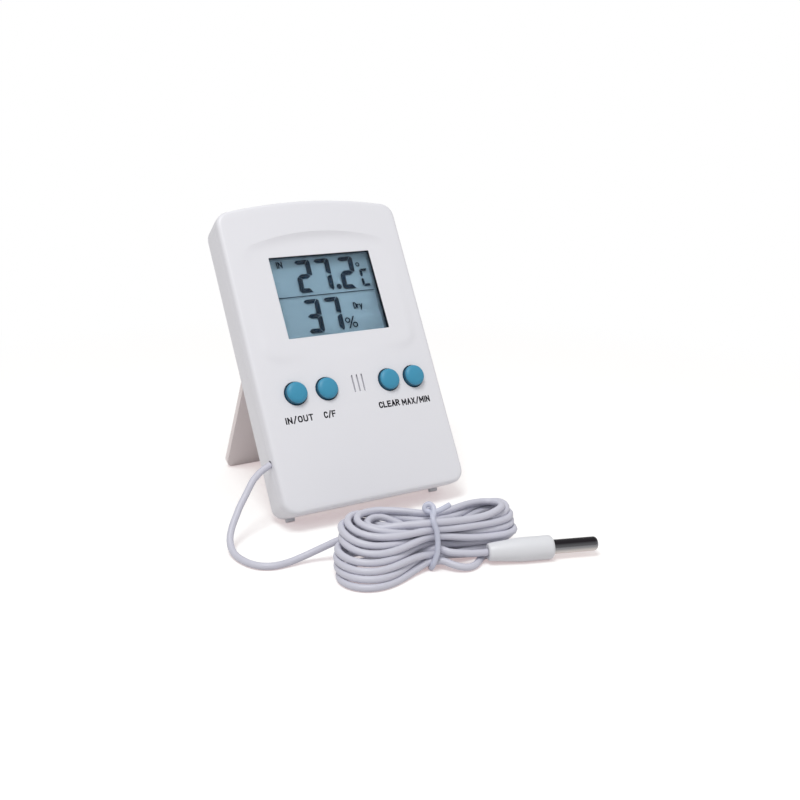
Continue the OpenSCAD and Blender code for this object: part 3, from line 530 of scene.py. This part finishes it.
def arched(half, low, r, rise, top, stops):
    """A closed outline with rounded corners and an arched top; stops divide its left side."""
    top_r = (half ** 2 + rise ** 2) / (2 * rise)
    in_x, about_z = half - r, top - top_r
    shoulder = about_z + math.sqrt((top_r - r) ** 2 - in_x ** 2)
    lean = math.degrees(math.atan2(shoulder - about_z, in_x))
    points = arc(-in_x, low + r, r, 180, 270, 9)
    run_to(points, (in_x, low), 40)
    points += arc(in_x, low + r, r, 270, 360, 9)[1:]
    run_to(points, (half, shoulder), 50)
    points += arc(in_x, shoulder, r, 0, lean, 8)[1:]
    points += arc(0, about_z, top_r, lean, 180 - lean, 46)[1:]
    points += arc(-in_x, shoulder, r, 180 - lean, 180, 8)[1:]
    for z, steps in stops:
        run_to(points, (-half, z), steps)
    run_to(points, (-half, low + r), 10)
    return points[:-1]


def case_edge(inset):
    """The outline of the case, drawn in by this much."""
    shrunk = arched(half_w, 0, 5.0, 3.0, 110.0, ((cord_hole_z + 2, 40), (cord_hole_z - 2, 26)))
    if not inset:
        return shrunk
    p = np.array(shrunk)
    way = np.roll(p, -1, axis=0) - np.roll(p, 1, axis=0)
    way /= np.linalg.norm(way, axis=1, keepdims=True)
    return [tuple(q) for q in p + inset * np.stack([-way[:, 1], way[:, 0]], 1)]


def oblong(x, z, half_x, half_z, r, steps, cuts=(1, 1)):
    """A closed outline of a rectangle with rounded corners."""
    points = arc(x - half_x + r, z - half_z + r, r, 180, 270, steps)
    run_to(points, (x + half_x - r, z - half_z), cuts[0])
    points += arc(x + half_x - r, z - half_z + r, r, 270, 360, steps)[1:]
    run_to(points, (x + half_x, z + half_z - r), cuts[1])
    points += arc(x + half_x - r, z + half_z - r, r, 0, 90, steps)[1:]
    run_to(points, (x - half_x + r, z + half_z), cuts[0])
    points += arc(x - half_x + r, z + half_z - r, r, 90, 180, steps)[1:]
    run_to(points, (x - half_x, z - half_z + r), cuts[1])
    return points[:-1]


panel_edge = arched(27.7, panel_low, 4.0, 4.41, panel_top, ((70, 14),))


def signed_gap(x, z, edge):
    """Distance of points from a closed outline, positive inside it."""
    a = np.array(edge)
    b = np.roll(a, -1, axis=0)
    p = np.stack([x, z], 1)[:, None, :]
    along = np.clip(((p - a) * (b - a)).sum(2) / ((b - a) ** 2).sum(1), 0, 1)
    gap = np.linalg.norm(p - a - along[:, :, None] * (b - a), axis=2).min(1)
    straddle = (a[:, 1] > p[:, :, 1]) != (b[:, 1] > p[:, :, 1])
    rise = np.where(b[:, 1] == a[:, 1], 1, b[:, 1] - a[:, 1])
    cross = a[:, 0] + (p[:, :, 1] - a[:, 1]) / rise * (b[:, 0] - a[:, 0])
    inside = (straddle & (p[:, :, 0] < cross)).sum(1) % 2 == 1
    return np.where(inside, gap, -gap)


def ease(t):
    """A smooth rise from 0 to 1."""
    t = np.clip(t, 0, 1)
    return t * t * (3 - 2 * t)


def face_y(x, z):
    """Depth of the face behind its foremost line: the crown, the panel and the brow."""
    x, z = np.atleast_1d(np.asarray(x, float)), np.atleast_1d(np.asarray(z, float))
    bow = face_crown * (x / half_w) ** 2
    flat = 0.15 + 0.75 * (z - panel_low) / (94 - panel_low)
    gap = signed_gap(x, z, panel_edge)
    crisp = ease((z - 86) / 6)
    level = flat + (bow - flat) * crisp
    fall = np.clip(gap / 3.7, 0, 1)
    inner = level + (flat - level) * (1 - (1 - fall) ** 2)
    outer = bow + (level - bow) * (1 - ease(-gap / (0.8 + 2.2 * (1 - crisp))))
    return np.where(gap >= 0, inner, outer)


shell = Form()
rims = []
for step in range(7):
    turn = math.radians(15 * step)
    flat = case_edge(edge_r * (1 - math.sin(turn)))
    back = edge_r * (1 - math.cos(turn))
    rims.append(shell.ring(flat, [face_crown * (x / half_w) ** 2 + back for x, z in flat]))
for inset, depth in ((0, parting_y - 0.12), (0.12, parting_y), (2, parting_y), (2, 2.2)):
    flat = case_edge(inset)
    notch = [math.sqrt(max(cord_hole_r ** 2 - (z - cord_hole_z) ** 2, 0)) if x < 0 and depth > 4 else 0
             for x, z in flat]
    rims.append(shell.ring(flat, [depth - n for n in notch]))
for front, back in zip(rims[:-1], rims[1:]):
    shell.band(back, front)

# The face is cut from one sheet that bends with face_y, with its openings left out. Each
# opening has its kind and sizes, the depth that its wall goes to and the wall's finish.
openings = [(oblong, (window_x, window_z, 19.75, 15.0, 0.3, 3, (26, 20)), 1.25, 1)]
openings += [(arc, (x, button_z, 4.15, 0, 360, 48), 2.0, 0) for x in button_x]
openings += [(oblong, (2.1 + 1.9 * i, 40.7, 0.25, 3.1, 0.23, 4, (1, 4)), 2.0, 0) for i in (-1, 0, 1)]
chamfer = 0.12


def opening(kind, sizes, grown):
    """The outline of one opening in the face, widened by this much."""
    if kind is arc:
        x, z, r, start, stop, steps = sizes
        return arc(x, z, r + grown, start, stop, steps)[:-1]
    x, z, half_x, half_z, r, steps, cuts = sizes
    return oblong(x, z, half_x + grown, half_z + grown, r + grown, steps, cuts)


sheet_edge = case_edge(edge_r)
rows = [sheet_edge, panel_edge] + [opening(kind, sizes, chamfer) for kind, sizes, _, _ in openings]
spots, ties = [], []
for row in rows:
    ties += [(len(spots) + i, len(spots) + (i + 1) % len(row)) for i in range(len(row))]
    spots += row
grid_x, grid_z = np.meshgrid(np.arange(-33, 33.01, 1.4), np.arange(1.5, 109, 1.25))
grid_x = (grid_x + 0.7 * (np.arange(len(grid_x)) % 2)[:, None]).ravel()
grid_z = grid_z.ravel()
keep = signed_gap(grid_x, grid_z, sheet_edge) > 0.7
keep &= np.abs(signed_gap(grid_x, grid_z, panel_edge)) > 0.35
for row in rows[2:]:
    keep &= signed_gap(grid_x, grid_z, row) < -0.5
spots += list(zip(grid_x[keep].tolist(), grid_z[keep].tolist()))
cut = delaunay_2d_cdt([Vector(p) for p in spots], ties, [], 0, 1e-6)
spots = np.array([(p.x, p.y) for p in cut[0]])
middle = np.array([spots[list(face)].mean(0) for face in cut[2]])
solid = signed_gap(middle[:, 0], middle[:, 1], sheet_edge) > 1e-3
for row in rows[2:]:
    solid &= signed_gap(middle[:, 0], middle[:, 1], row) < 0
sheet = shell.ring([tuple(p) for p in spots], face_y(spots[:, 0], spots[:, 1]))
for face, kept in zip(cut[2], solid):
    if kept:
        shell.cap([sheet[i] for i in face])
on_brow = (np.abs(signed_gap(spots[:, 0], spots[:, 1], panel_edge)) < 1e-4) & (spots[:, 1] > 92)
shell.crisp = [sheet[i] for i in np.flatnonzero(on_brow)]
for (kind, sizes, floor_y, finish), row in zip(openings, rows[2:]):
    p = np.array(row)
    top = shell.ring(row, face_y(p[:, 0], p[:, 1]))
    row = opening(kind, sizes, 0)
    lip = shell.ring(row, face_y(p[:, 0], p[:, 1]) + chamfer)
    foot = shell.ring(row, floor_y)
    shell.band(top, lip)
    shell.band(lip, foot, finish)
front_shell = shell.made("front_shell", [case_plastic, mask_black], upright)
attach(front_shell, "case")
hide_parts("front_case")


# ---- Display ----
# A reflective liquid-crystal display behind a clear acrylic window. It sits deep in a dark
# frame, and its digits stand a little in front of its grey-blue reflector.
window_plastic = moulded("window_plastic", tone(250, 252, 252), 0.04, 0.03, 0.0, 60, 2500, 0.0,
                         Transmission_Weight=1.0, IOR=1.2)
dressed("display_window", window_plastic)
lcd_y, lcd_back, mask_y = 4.45, 5.3, 2.3
lcd_tone = moulded("lcd_reflector", tone(134, 163, 182), 0.6, 0.06, 0.03, 60, 4200, 0.004,
                   Specular_IOR_Level=0.2)
lcd_ink = moulded("lcd_ink", tone(22, 42, 60), 0.6, 0.05, 0.05, 120, 3000, 0.004, Specular_IOR_Level=0.0)
cell = Form()
outline = oblong(window_x, window_z, 22.5, 18.0, 0.3, 3)
front = cell.ring(outline, lcd_y)
back = cell.ring(outline, lcd_back)
cell.cap(front)
cell.band(back, front)
cell.cap(back[::-1])
cell = cell.made("lcd_cell", [lcd_tone], upright)
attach(cell, "case")
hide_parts("lcd_panel")

mask = Form()
inside = oblong(window_x, window_z, 19.9, 15.1, 0.3, 3)
outside = oblong(window_x, window_z, 22.15, 17.1, 0.3, 3)
rings = [mask.ring(outside, lcd_y - 0.05), mask.ring(outside, mask_y)]
rings += [mask.ring(inside, depth) for depth in (mask_y, 2.6, 3.4, lcd_y - 0.05)]
# Painted shade: the frame's inner wall is black at its front, and from 2.6 mm back it is painted in ever
# lighter tones of the display's grey-blue, standing in for the display's edge in the wall's shade.
for back, front, finish in zip(rings, rings[1:] + rings[:1], (0, 0, 0, 1, 2, 2)):
    mask.band(back, front, finish)
mask = mask.made("display_mask", [mask_black, moulded("mask_painted_shade", tone(84, 100, 114), 0.5),
                                  moulded("mask_painted_lcd_shade", tone(122, 142, 158), 0.5)], upright)
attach(mask, "case")
holder_plastic = moulded("holder_plastic", tone(214, 214, 214), 0.5)
dressed("lcd_holder", holder_plastic)
dressed("zebra_strip", moulded("zebra_rubber", tone(196, 130, 146), 0.6))

ink_y = lcd_y - 0.36
ink = Form()


def bar(points):
    """One flat dark shape on the display, given round its outline."""
    ring = ink.ring(points, ink_y)
    if sum(a[0] * b[1] - b[0] * a[1] for a, b in zip(points, points[1:] + points[:1])) < 0:
        ring = ring[::-1]
    ink.cap(ring)


def segments(shown, x0, x1, z0, z1):
    """A seven-segment figure; its bars are named a to g from the top, clockwise."""
    zm = (z0 + z1) / 2
    bars = {
        "a": [(x0 + 0.1, z1 - 0.85), (x0 + 0.9, z1 - 0.1), (x1 - 0.95, z1), (x1 - 2.15, z1 - 1.65),
              (x0 + 1.3, z1 - 1.7)],
        "b": [(x1 - 0.65, z1), (x1, z1 - 0.9), (x1, zm + 0.35), (x1 - 0.45, zm + 0.14), (x1 - 1.95, zm + 0.9),
              (x1 - 1.95, z1 - 1.6)],
        "c": [(x1, zm - 0.35), (x1, z0 + 1.0), (x1 - 0.6, z0 + 0.1), (x1 - 1.95, z0 + 1.55),
              (x1 - 1.95, zm - 0.9), (x1 - 0.45, zm - 0.14)],
        "d": [(x0, z0 + 0.85), (x0 + 1.1, z0 + 1.75), (x1 - 2.15, z0 + 1.65), (x1 - 0.85, z0),
              (x0 + 0.85, z0 + 0.05)],
        "e": [(x0 + 0.45, zm - 0.2), (x0, zm - 0.65), (x0, z0 + 1.1), (x0 + 0.2, z0 + 0.8),
              (x0 + 1.85, z0 + 2.0), (x0 + 1.95, zm - 0.95)],
        "g": [(x0 + 0.45, zm - 0.05), (x0 + 1.8, zm + 0.85), (x1 - 2.1, zm + 0.85), (x1 - 0.75, zm),
              (x1 - 2.1, zm - 0.9), (x0 + 2.0, zm - 0.85)]}
    slant = 0.03
    for letter in shown:
        bar([(x + slant * (z - zm), z) for x, z in bars[letter]])


def hoop(x, z, r, t):
    """A dark ring of this radius and thickness."""
    outer = ink.ring(arc(x, z, r, 0, 360, 24)[:-1], ink_y)
    inner = ink.ring(arc(x, z, r - t, 0, 360, 24)[:-1], ink_y)
    ink.band(inner, outer)


# The temperature over the humidity, with the point, the degree sign, the C, the per cent
# sign and the line between the two rows
figure = {"2": "abged", "3": "abgcd", "7": "abc"}
figure_w = 6.1
for shown, x1, z0, z1 in (("2", -3.05, 76.5, 88.85), ("7", 4.5, 76.5, 88.85), ("2", 14.05, 76.5, 88.85),
                          ("3", -3.25, 61.4, 74.05), ("7", 4.6, 61.25, 74.1)):
    segments(figure[shown], x1 - figure_w, x1, z0, z1)
bar(arc(6.3, 77.75, 1.0, 0, 360, 20)[:-1])
hoop(15.8, 85.45, 0.85, 0.42)
for points in ([(15.9, 83.4), (16.95, 82.9), (16.95, 81.2), (16.4, 80.6), (15.9, 81.1)],
               [(16.1, 83.7), (19.0, 83.7), (18.6, 82.75), (17.15, 82.75)],
               [(15.9, 79.7), (16.4, 80.2), (16.95, 79.6), (16.95, 77.75), (15.9, 77.2)],
               [(16.1, 76.9), (17.15, 77.9), (18.8, 77.9), (19.0, 76.9)]):
    bar(points)
hoop(6.2, 64.85, 1.06, 0.5)
hoop(8.85, 62.95, 1.06, 0.5)
bar([(6.1, 61.75), (6.7, 61.75), (9.05, 66.2), (8.45, 66.2)])
bar([(-19.4, 75.2), (19.8, 75.2), (19.8, 75.5), (-19.4, 75.5)])


# The strokes of each plain letter, in a box one wide and one high
bowl = [(0, 0.28), (0.15, 0.07), (0.5, 0), (0.85, 0.07), (1, 0.28)]
letters = {
    "A": [[(0, 0), (0.5, 1), (1, 0)], [(0.2, 0.34), (0.8, 0.34)]],
    "C": [[(1, 0.8), (0.85, 0.95), (0.5, 1), (0.15, 0.93), (0, 0.72), *bowl[:4], (1, 0.2)]],
    "D": [[(0, 0), (0, 1), (0.6, 1), (1, 0.75), (1, 0.25), (0.6, 0), (0, 0)]],
    "E": [[(1, 1), (0, 1), (0, 0), (1, 0)], [(0, 0.52), (0.85, 0.52)]],
    "F": [[(1, 1), (0, 1), (0, 0)], [(0, 0.52), (0.85, 0.52)]],
    "I": [[(0, 0), (0, 1)]],
    "L": [[(0, 1), (0, 0), (0.95, 0)]],
    "M": [[(0, 0), (0, 1), (0.5, 0.3), (1, 1), (1, 0)]],
    "N": [[(0, 0), (0, 1), (1, 0), (1, 1)]],
    "O": [bowl + [(1 - x, 1 - z) for x, z in bowl] + bowl[:2]],
    "R": [[(0, 0), (0, 1), (0.65, 1), (0.95, 0.88), (0.95, 0.62), (0.65, 0.5), (0, 0.5)],
          [(0.5, 0.5), (1, 0)]],
    "T": [[(0, 1), (1, 1)], [(0.5, 1), (0.5, 0)]],
    "U": [[(0, 1), *bowl, (1, 1)]],
    "X": [[(0, 0), (1, 1)], [(0, 1), (1, 0)]],
    "r": [[(0, 0), (0, 0.64)], [(0, 0.4), (0.35, 0.6), (0.9, 0.6)]],
    "y": [[(0, 0.64), (0.5, 0)], [(1, 0.64), (0.5, 0), (0.2, -0.3)]],
    "/": [[(0, -0.08), (1, 1.08)]]}


def printed(form, words, left, right, low, height, depth_of, stroke=0.44, apart=0.5):
    """Adds plain words in strokes of one width, fitted between two places."""
    wide = [{"I": 0.0, "/": 0.8, "r": 0.8, "M": 1.25}.get(letter, 1.0) for letter in words]
    unit = (right - left - stroke) / (sum(wide) + apart * (len(words) - 1))
    x = left + stroke / 2
    for letter, width in zip(words, wide):
        for line in letters[letter]:
            p = np.array([(x + a * width * unit, low + stroke / 2 + b * (height - stroke)) for a, b in line])
            way = np.diff(p, axis=0)
            way /= np.linalg.norm(way, axis=1, keepdims=True)
            half_turn = np.arccos(np.clip((way[:-1] * way[1:]).sum(1), -1, 1)) / 2
            over = stroke / 2 * np.concatenate([[1], np.minimum(np.tan(half_turn), 0.9), [1]])
            for i, (ahead, side) in enumerate(zip(way, np.stack([-way[:, 1], way[:, 0]], 1) * stroke / 2)):
                start, end = p[i] - ahead * over[i], p[i + 1] + ahead * over[i + 1]
                box = np.array([start - side, end - side, end + side, start + side])
                form.cap(form.ring([tuple(q) for q in box], depth_of(box[:, 0], box[:, 1])))
        x += (width + apart) * unit


printed(ink, "IN", -15.9, -13.6, 86.35, 2.5, lambda x, z: ink_y)
printed(ink, "Dry", 9.9, 13.6, 68.8, 2.5, lambda x, z: ink_y, 0.42)
ink = ink.made("lcd_figures", [lcd_ink], upright)
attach(ink, "case")


# ---- Buttons ----
# Four domed caps in satin teal plastic over a soft keypad, with their functions printed
# under them in black.
button_plastic = moulded("button_plastic", tone(60, 149, 184), 0.46, 0.06, 0.03, 120, 2600, 0.01)
# Painted shade: the caps are one teal plastic, and their side walls are coloured a darker teal to stand in
# for the shade in the gap round each cap.
cap_side_painted_shade = moulded("cap_side_painted_shade", tone(28, 92, 120), 0.5, 0.06, 0.04, 120, 2600, 0.01)
cap_r, cap_proud, cap_crown, rim_r = 3.7, 2.1, 0.5, 0.8
dome_r = (cap_r ** 2 + cap_crown ** 2) / (2 * cap_crown)
rim = [math.radians(a) for a in range(0, 76, 15)]
dome = [(cap_r - rim_r + rim_r * math.cos(a), cap_crown - cap_proud + 0.75 - rim_r * math.sin(a))
        for a in rim]
dome += [(r, dome_r - cap_proud - math.sqrt(dome_r ** 2 - r * r))
         for r in (2.8, 2.4, 2, 1.6, 1.2, 0.8, 0.4, 0)]
skirt = [(0, 3.0), (5, 3.0), (5, 2.1), (cap_r + 0.15, 2.1), (cap_r + 0.1, -0.2)]
for x, name, body in zip(button_x, ("in_out", "unit", "clear", "max_min"),
                         ("in_out_key", "unit_key", "clear_key", "max_min_key")):
    button = Form()
    button.turned(skirt + dome[:1], x, button_z, finish=1)
    button.turned(dome, x, button_z)
    button = button.made("cap_" + name, [button_plastic, cap_side_painted_shade], upright, 40)
    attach(button, body)
    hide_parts("button_" + name)
plunger_rubber = moulded("plunger_rubber", tone(150, 150, 152), 0.6)
for name in ("in_out", "unit", "clear", "max_min"):
    dressed("plunger_" + name, plunger_rubber)
dressed("keypad_mat", moulded("keypad_rubber", tone(176, 176, 178), 0.6))
legend_ink = moulded("legend_ink", tone(22, 20, 30), 0.5, 0.05, 0.05, 120, 3000, 0.003,
                     Specular_IOR_Level=0.2)
legends = Form()


def on_face(x, z):
    """Just proud of the face, as printed ink is."""
    return face_y(x, z) - 0.015


for words, left, right, low, stroke in (
        ("IN/OUT", -27.8, -17.65, 30.2, 0.46), ("C/F", -13.75, -9.3, 30.2, 0.46),
        ("CLEAR", 7.75, 16.1, 30.5, 0.5), ("MAX/MIN", 17.1, 28.8, 30.25, 0.47)):
    printed(legends, words, left, right, low, 2.35, on_face, stroke, 0.6)
legends = legends.made("legends", [legend_ink], upright)
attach(legends, "case")


# ---- Rear shell ----
# The back half of the case in the same white ABS, with its vents, hanging hole and the
# recess that the stand folds into.
def apply(piece):
    """Works the piece's modifiers into its mesh."""
    seen = piece.evaluated_get(bpy.context.evaluated_depsgraph_get())
    mesh = bpy.data.meshes.new_from_object(seen)
    piece.modifiers.clear()
    piece.data = mesh


def softened(name, width, body, material, segments=3, corner=30.0):
    """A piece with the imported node's form, its sharp edges rounded over."""
    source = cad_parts[name]
    made = bpy.data.objects.new(name + "_made", source.data.copy())
    bpy.context.scene.collection.objects.link(made)
    form = bmesh.new()
    form.from_mesh(made.data)
    bmesh.ops.remove_doubles(form, verts=form.verts, dist=1e-6)
    bmesh.ops.dissolve_limit(form, angle_limit=math.radians(0.5), verts=form.verts, edges=form.edges)
    form.to_mesh(made.data)
    form.free()
    made.data.materials.clear()
    made.data.materials.append(material)
    for polygon in made.data.polygons:
        polygon.material_index = 0
    if width:
        edge = made.modifiers.new("edges", "BEVEL")
        edge.width = width * mm
        edge.segments = segments
        edge.limit_method = "ANGLE"
        edge.angle_limit = math.radians(corner)
        edge.use_clamp_overlap = True
        edge.harden_normals = False
    apply(made)
    smooth(made, corner)
    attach(made, body)
    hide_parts(name)
    return made


softened("rear_case", 0.3, "case", case_plastic)


# ---- Stand and battery door ----
# The stand is a flat moulded flap on two stub pins; the door slides in the recess that
# the stand folds into.
# The stand is the case's white plastic; its pink tint is painted light, standing in for light bounced up from
# the table onto the shaded flap.
stand_plastic = moulded("stand_plastic", tone(246, 236, 235), 0.42, 0.06, 0.02, 50, 2400, 0.012)
softened("stand", 0.4, "stand", stand_plastic)
softened("battery_door", 0.2, "battery_door", case_plastic)


# ---- Inner parts ----
# The green laminate board with its chip under black epoxy, the crystal's can, the humidity
# and air sensors, the cell with its contacts, and the plated steel screws.
for names, finish in (
        (("circuit_board",), moulded("board_laminate", tone(44, 104, 66), 0.35, 0.08, 0.1, 220, 2600, 0.01)),
        (("chip_blob",), moulded("chip_epoxy", tone(22, 22, 24), 0.3, 0.1, 0.08, 200, 1800, 0.02)),
        (("crystal",),
         moulded("crystal_can", tone(196, 196, 198), 0.28, 0.06, 0.05, 200, 3000, 0.004, Metallic=1.0)),
        (("board_parts",), moulded("board_part", tone(172, 142, 96), 0.5, 0.08, 0.12, 300, 3000, 0.006)),
        (("humidity_sensor",),
         moulded("sensor_body", tone(228, 228, 222), 0.45, 0.06, 0.04, 200, 2600, 0.008)),
        (("air_thermistor",), bead_epoxy),
        (("battery_cell",),
         moulded("cell_jacket", tone(150, 152, 156), 0.3, 0.06, 0.05, 120, 2200, 0.006, Metallic=0.8)),
        (("battery_spring", "battery_plate"),
         moulded("contact_steel", tone(206, 202, 192), 0.26, 0.08, 0.06, 180, 3200, 0.004, Metallic=1.0)),
        (("case_screws", "board_screws"),
         moulded("screw_steel", tone(186, 186, 188), 0.34, 0.1, 0.08, 260, 2800, 0.006, Metallic=1.0)),
        (("cord_grip", "cord_inner"), cord_vinyl)):
    for name in names:
        dressed(name, finish)


# ---- Floor and light ----
# A white table sweep under a large soft lamp, in an even white surround. The table fades
# to plain white away from the thermometer.
floor_mesh = bpy.data.meshes.new("floor")
form = bmesh.new()
bmesh.ops.create_grid(form, x_segments=8, y_segments=8, size=3.0)
form.to_mesh(floor_mesh)
form.free()
floor = bpy.data.objects.new("floor", floor_mesh)
bpy.context.scene.collection.objects.link(floor)
floor_white = bpy.data.materials.new("floor_white")
floor_white.use_nodes = True
tree = floor_white.node_tree
shader = tree.nodes["Principled BSDF"]
out = tree.nodes["Material Output"]
shader.inputs["Roughness"].default_value = 0.9
shader.inputs["Specular IOR Level"].default_value = 0.0
sight = node(tree, "ShaderNodeLightPath")
seen = node(tree, "ShaderNodeMath", [(0, sight.outputs["Is Camera Ray"]),
            (1, sight.outputs["Is Glossy Ray"])], operation="MAXIMUM")
seen = node(tree, "ShaderNodeMath", [(0, seen.outputs[0]), (1, sight.outputs["Is Transmission Ray"])],
            operation="MAXIMUM")
white = node(tree, "ShaderNodeEmission", [("Color", (1, 1, 1, 1)), ("Strength", 1.0)])
spot = node(tree, "ShaderNodeTexCoord")
reach = node(tree, "ShaderNodeVectorMath", [(0, spot.outputs["Object"])], operation="LENGTH")
fade = node(tree, "ShaderNodeMapRange", [("Value", reach.outputs["Value"]),
            ("From Min", 0.16), ("From Max", 0.34)], interpolation_type="SMOOTHSTEP")
bright = node(tree, "ShaderNodeMath", [(0, fade.outputs[0]), (1, seen.outputs[0])], operation="MULTIPLY")
# To the eye the table is lifted to near white, but it lights the piece as a greyer one
table = node(tree, "ShaderNodeMix", [(0, seen.outputs[0]), (6, (0.68, 0.66, 0.66, 1)),
             (7, (0.70, 0.80, 0.78, 1))], data_type="RGBA")
tree.links.new(table.outputs[2], shader.inputs["Base Color"])
lift_glow = node(tree, "ShaderNodeEmission", [("Color", (0.43, 0.33, 0.335, 1))])
tree.links.new(seen.outputs[0], lift_glow.inputs["Strength"])
lit = node(tree, "ShaderNodeAddShader", [(0, shader.outputs[0]), (1, lift_glow.outputs[0])])
blend = node(tree, "ShaderNodeMixShader", [(0, bright.outputs[0]), (1, lit.outputs[0]),
             (2, white.outputs[0])])
tree.links.new(blend.outputs[0], out.inputs["Surface"])
floor_mesh.materials.append(floor_white)

# The surround looks white and lights the piece at about half of that
world = bpy.data.worlds.new("surround")
world.use_nodes = True
bpy.context.scene.world = world
tree = world.node_tree
air = tree.nodes["Background"]
air.inputs["Color"].default_value = (1, 1, 1, 1)
sight = node(tree, "ShaderNodeLightPath")
seen = node(tree, "ShaderNodeMath", [(0, sight.outputs["Is Camera Ray"]),
            (1, sight.outputs["Is Transmission Ray"])], operation="MAXIMUM")
level = node(tree, "ShaderNodeMapRange", [("Value", seen.outputs[0]), ("To Min", 0.52), ("To Max", 1.0)])
tree.links.new(level.outputs[0], air.inputs["Strength"])

for label, place, aim, size, watts in (
        ("key_lamp", (-0.28, -0.30, 0.93), (0, 0, 0.05), 0.42, 4.6),
        ("fill_lamp", (0.6, -0.5, 0.5), (0, 0, 0.05), 0.7, 0.3)):
    lamp = bpy.data.lights.new(label, "AREA")
    lamp.shape = "DISK"
    lamp.size = size
    lamp.energy = watts
    hung = bpy.data.objects.new(label, lamp)
    hung.location = place
    hung.rotation_euler = (Vector(aim) - Vector(place)).to_track_quat("-Z", "Y").to_euler()
    bpy.context.scene.collection.objects.link(hung)
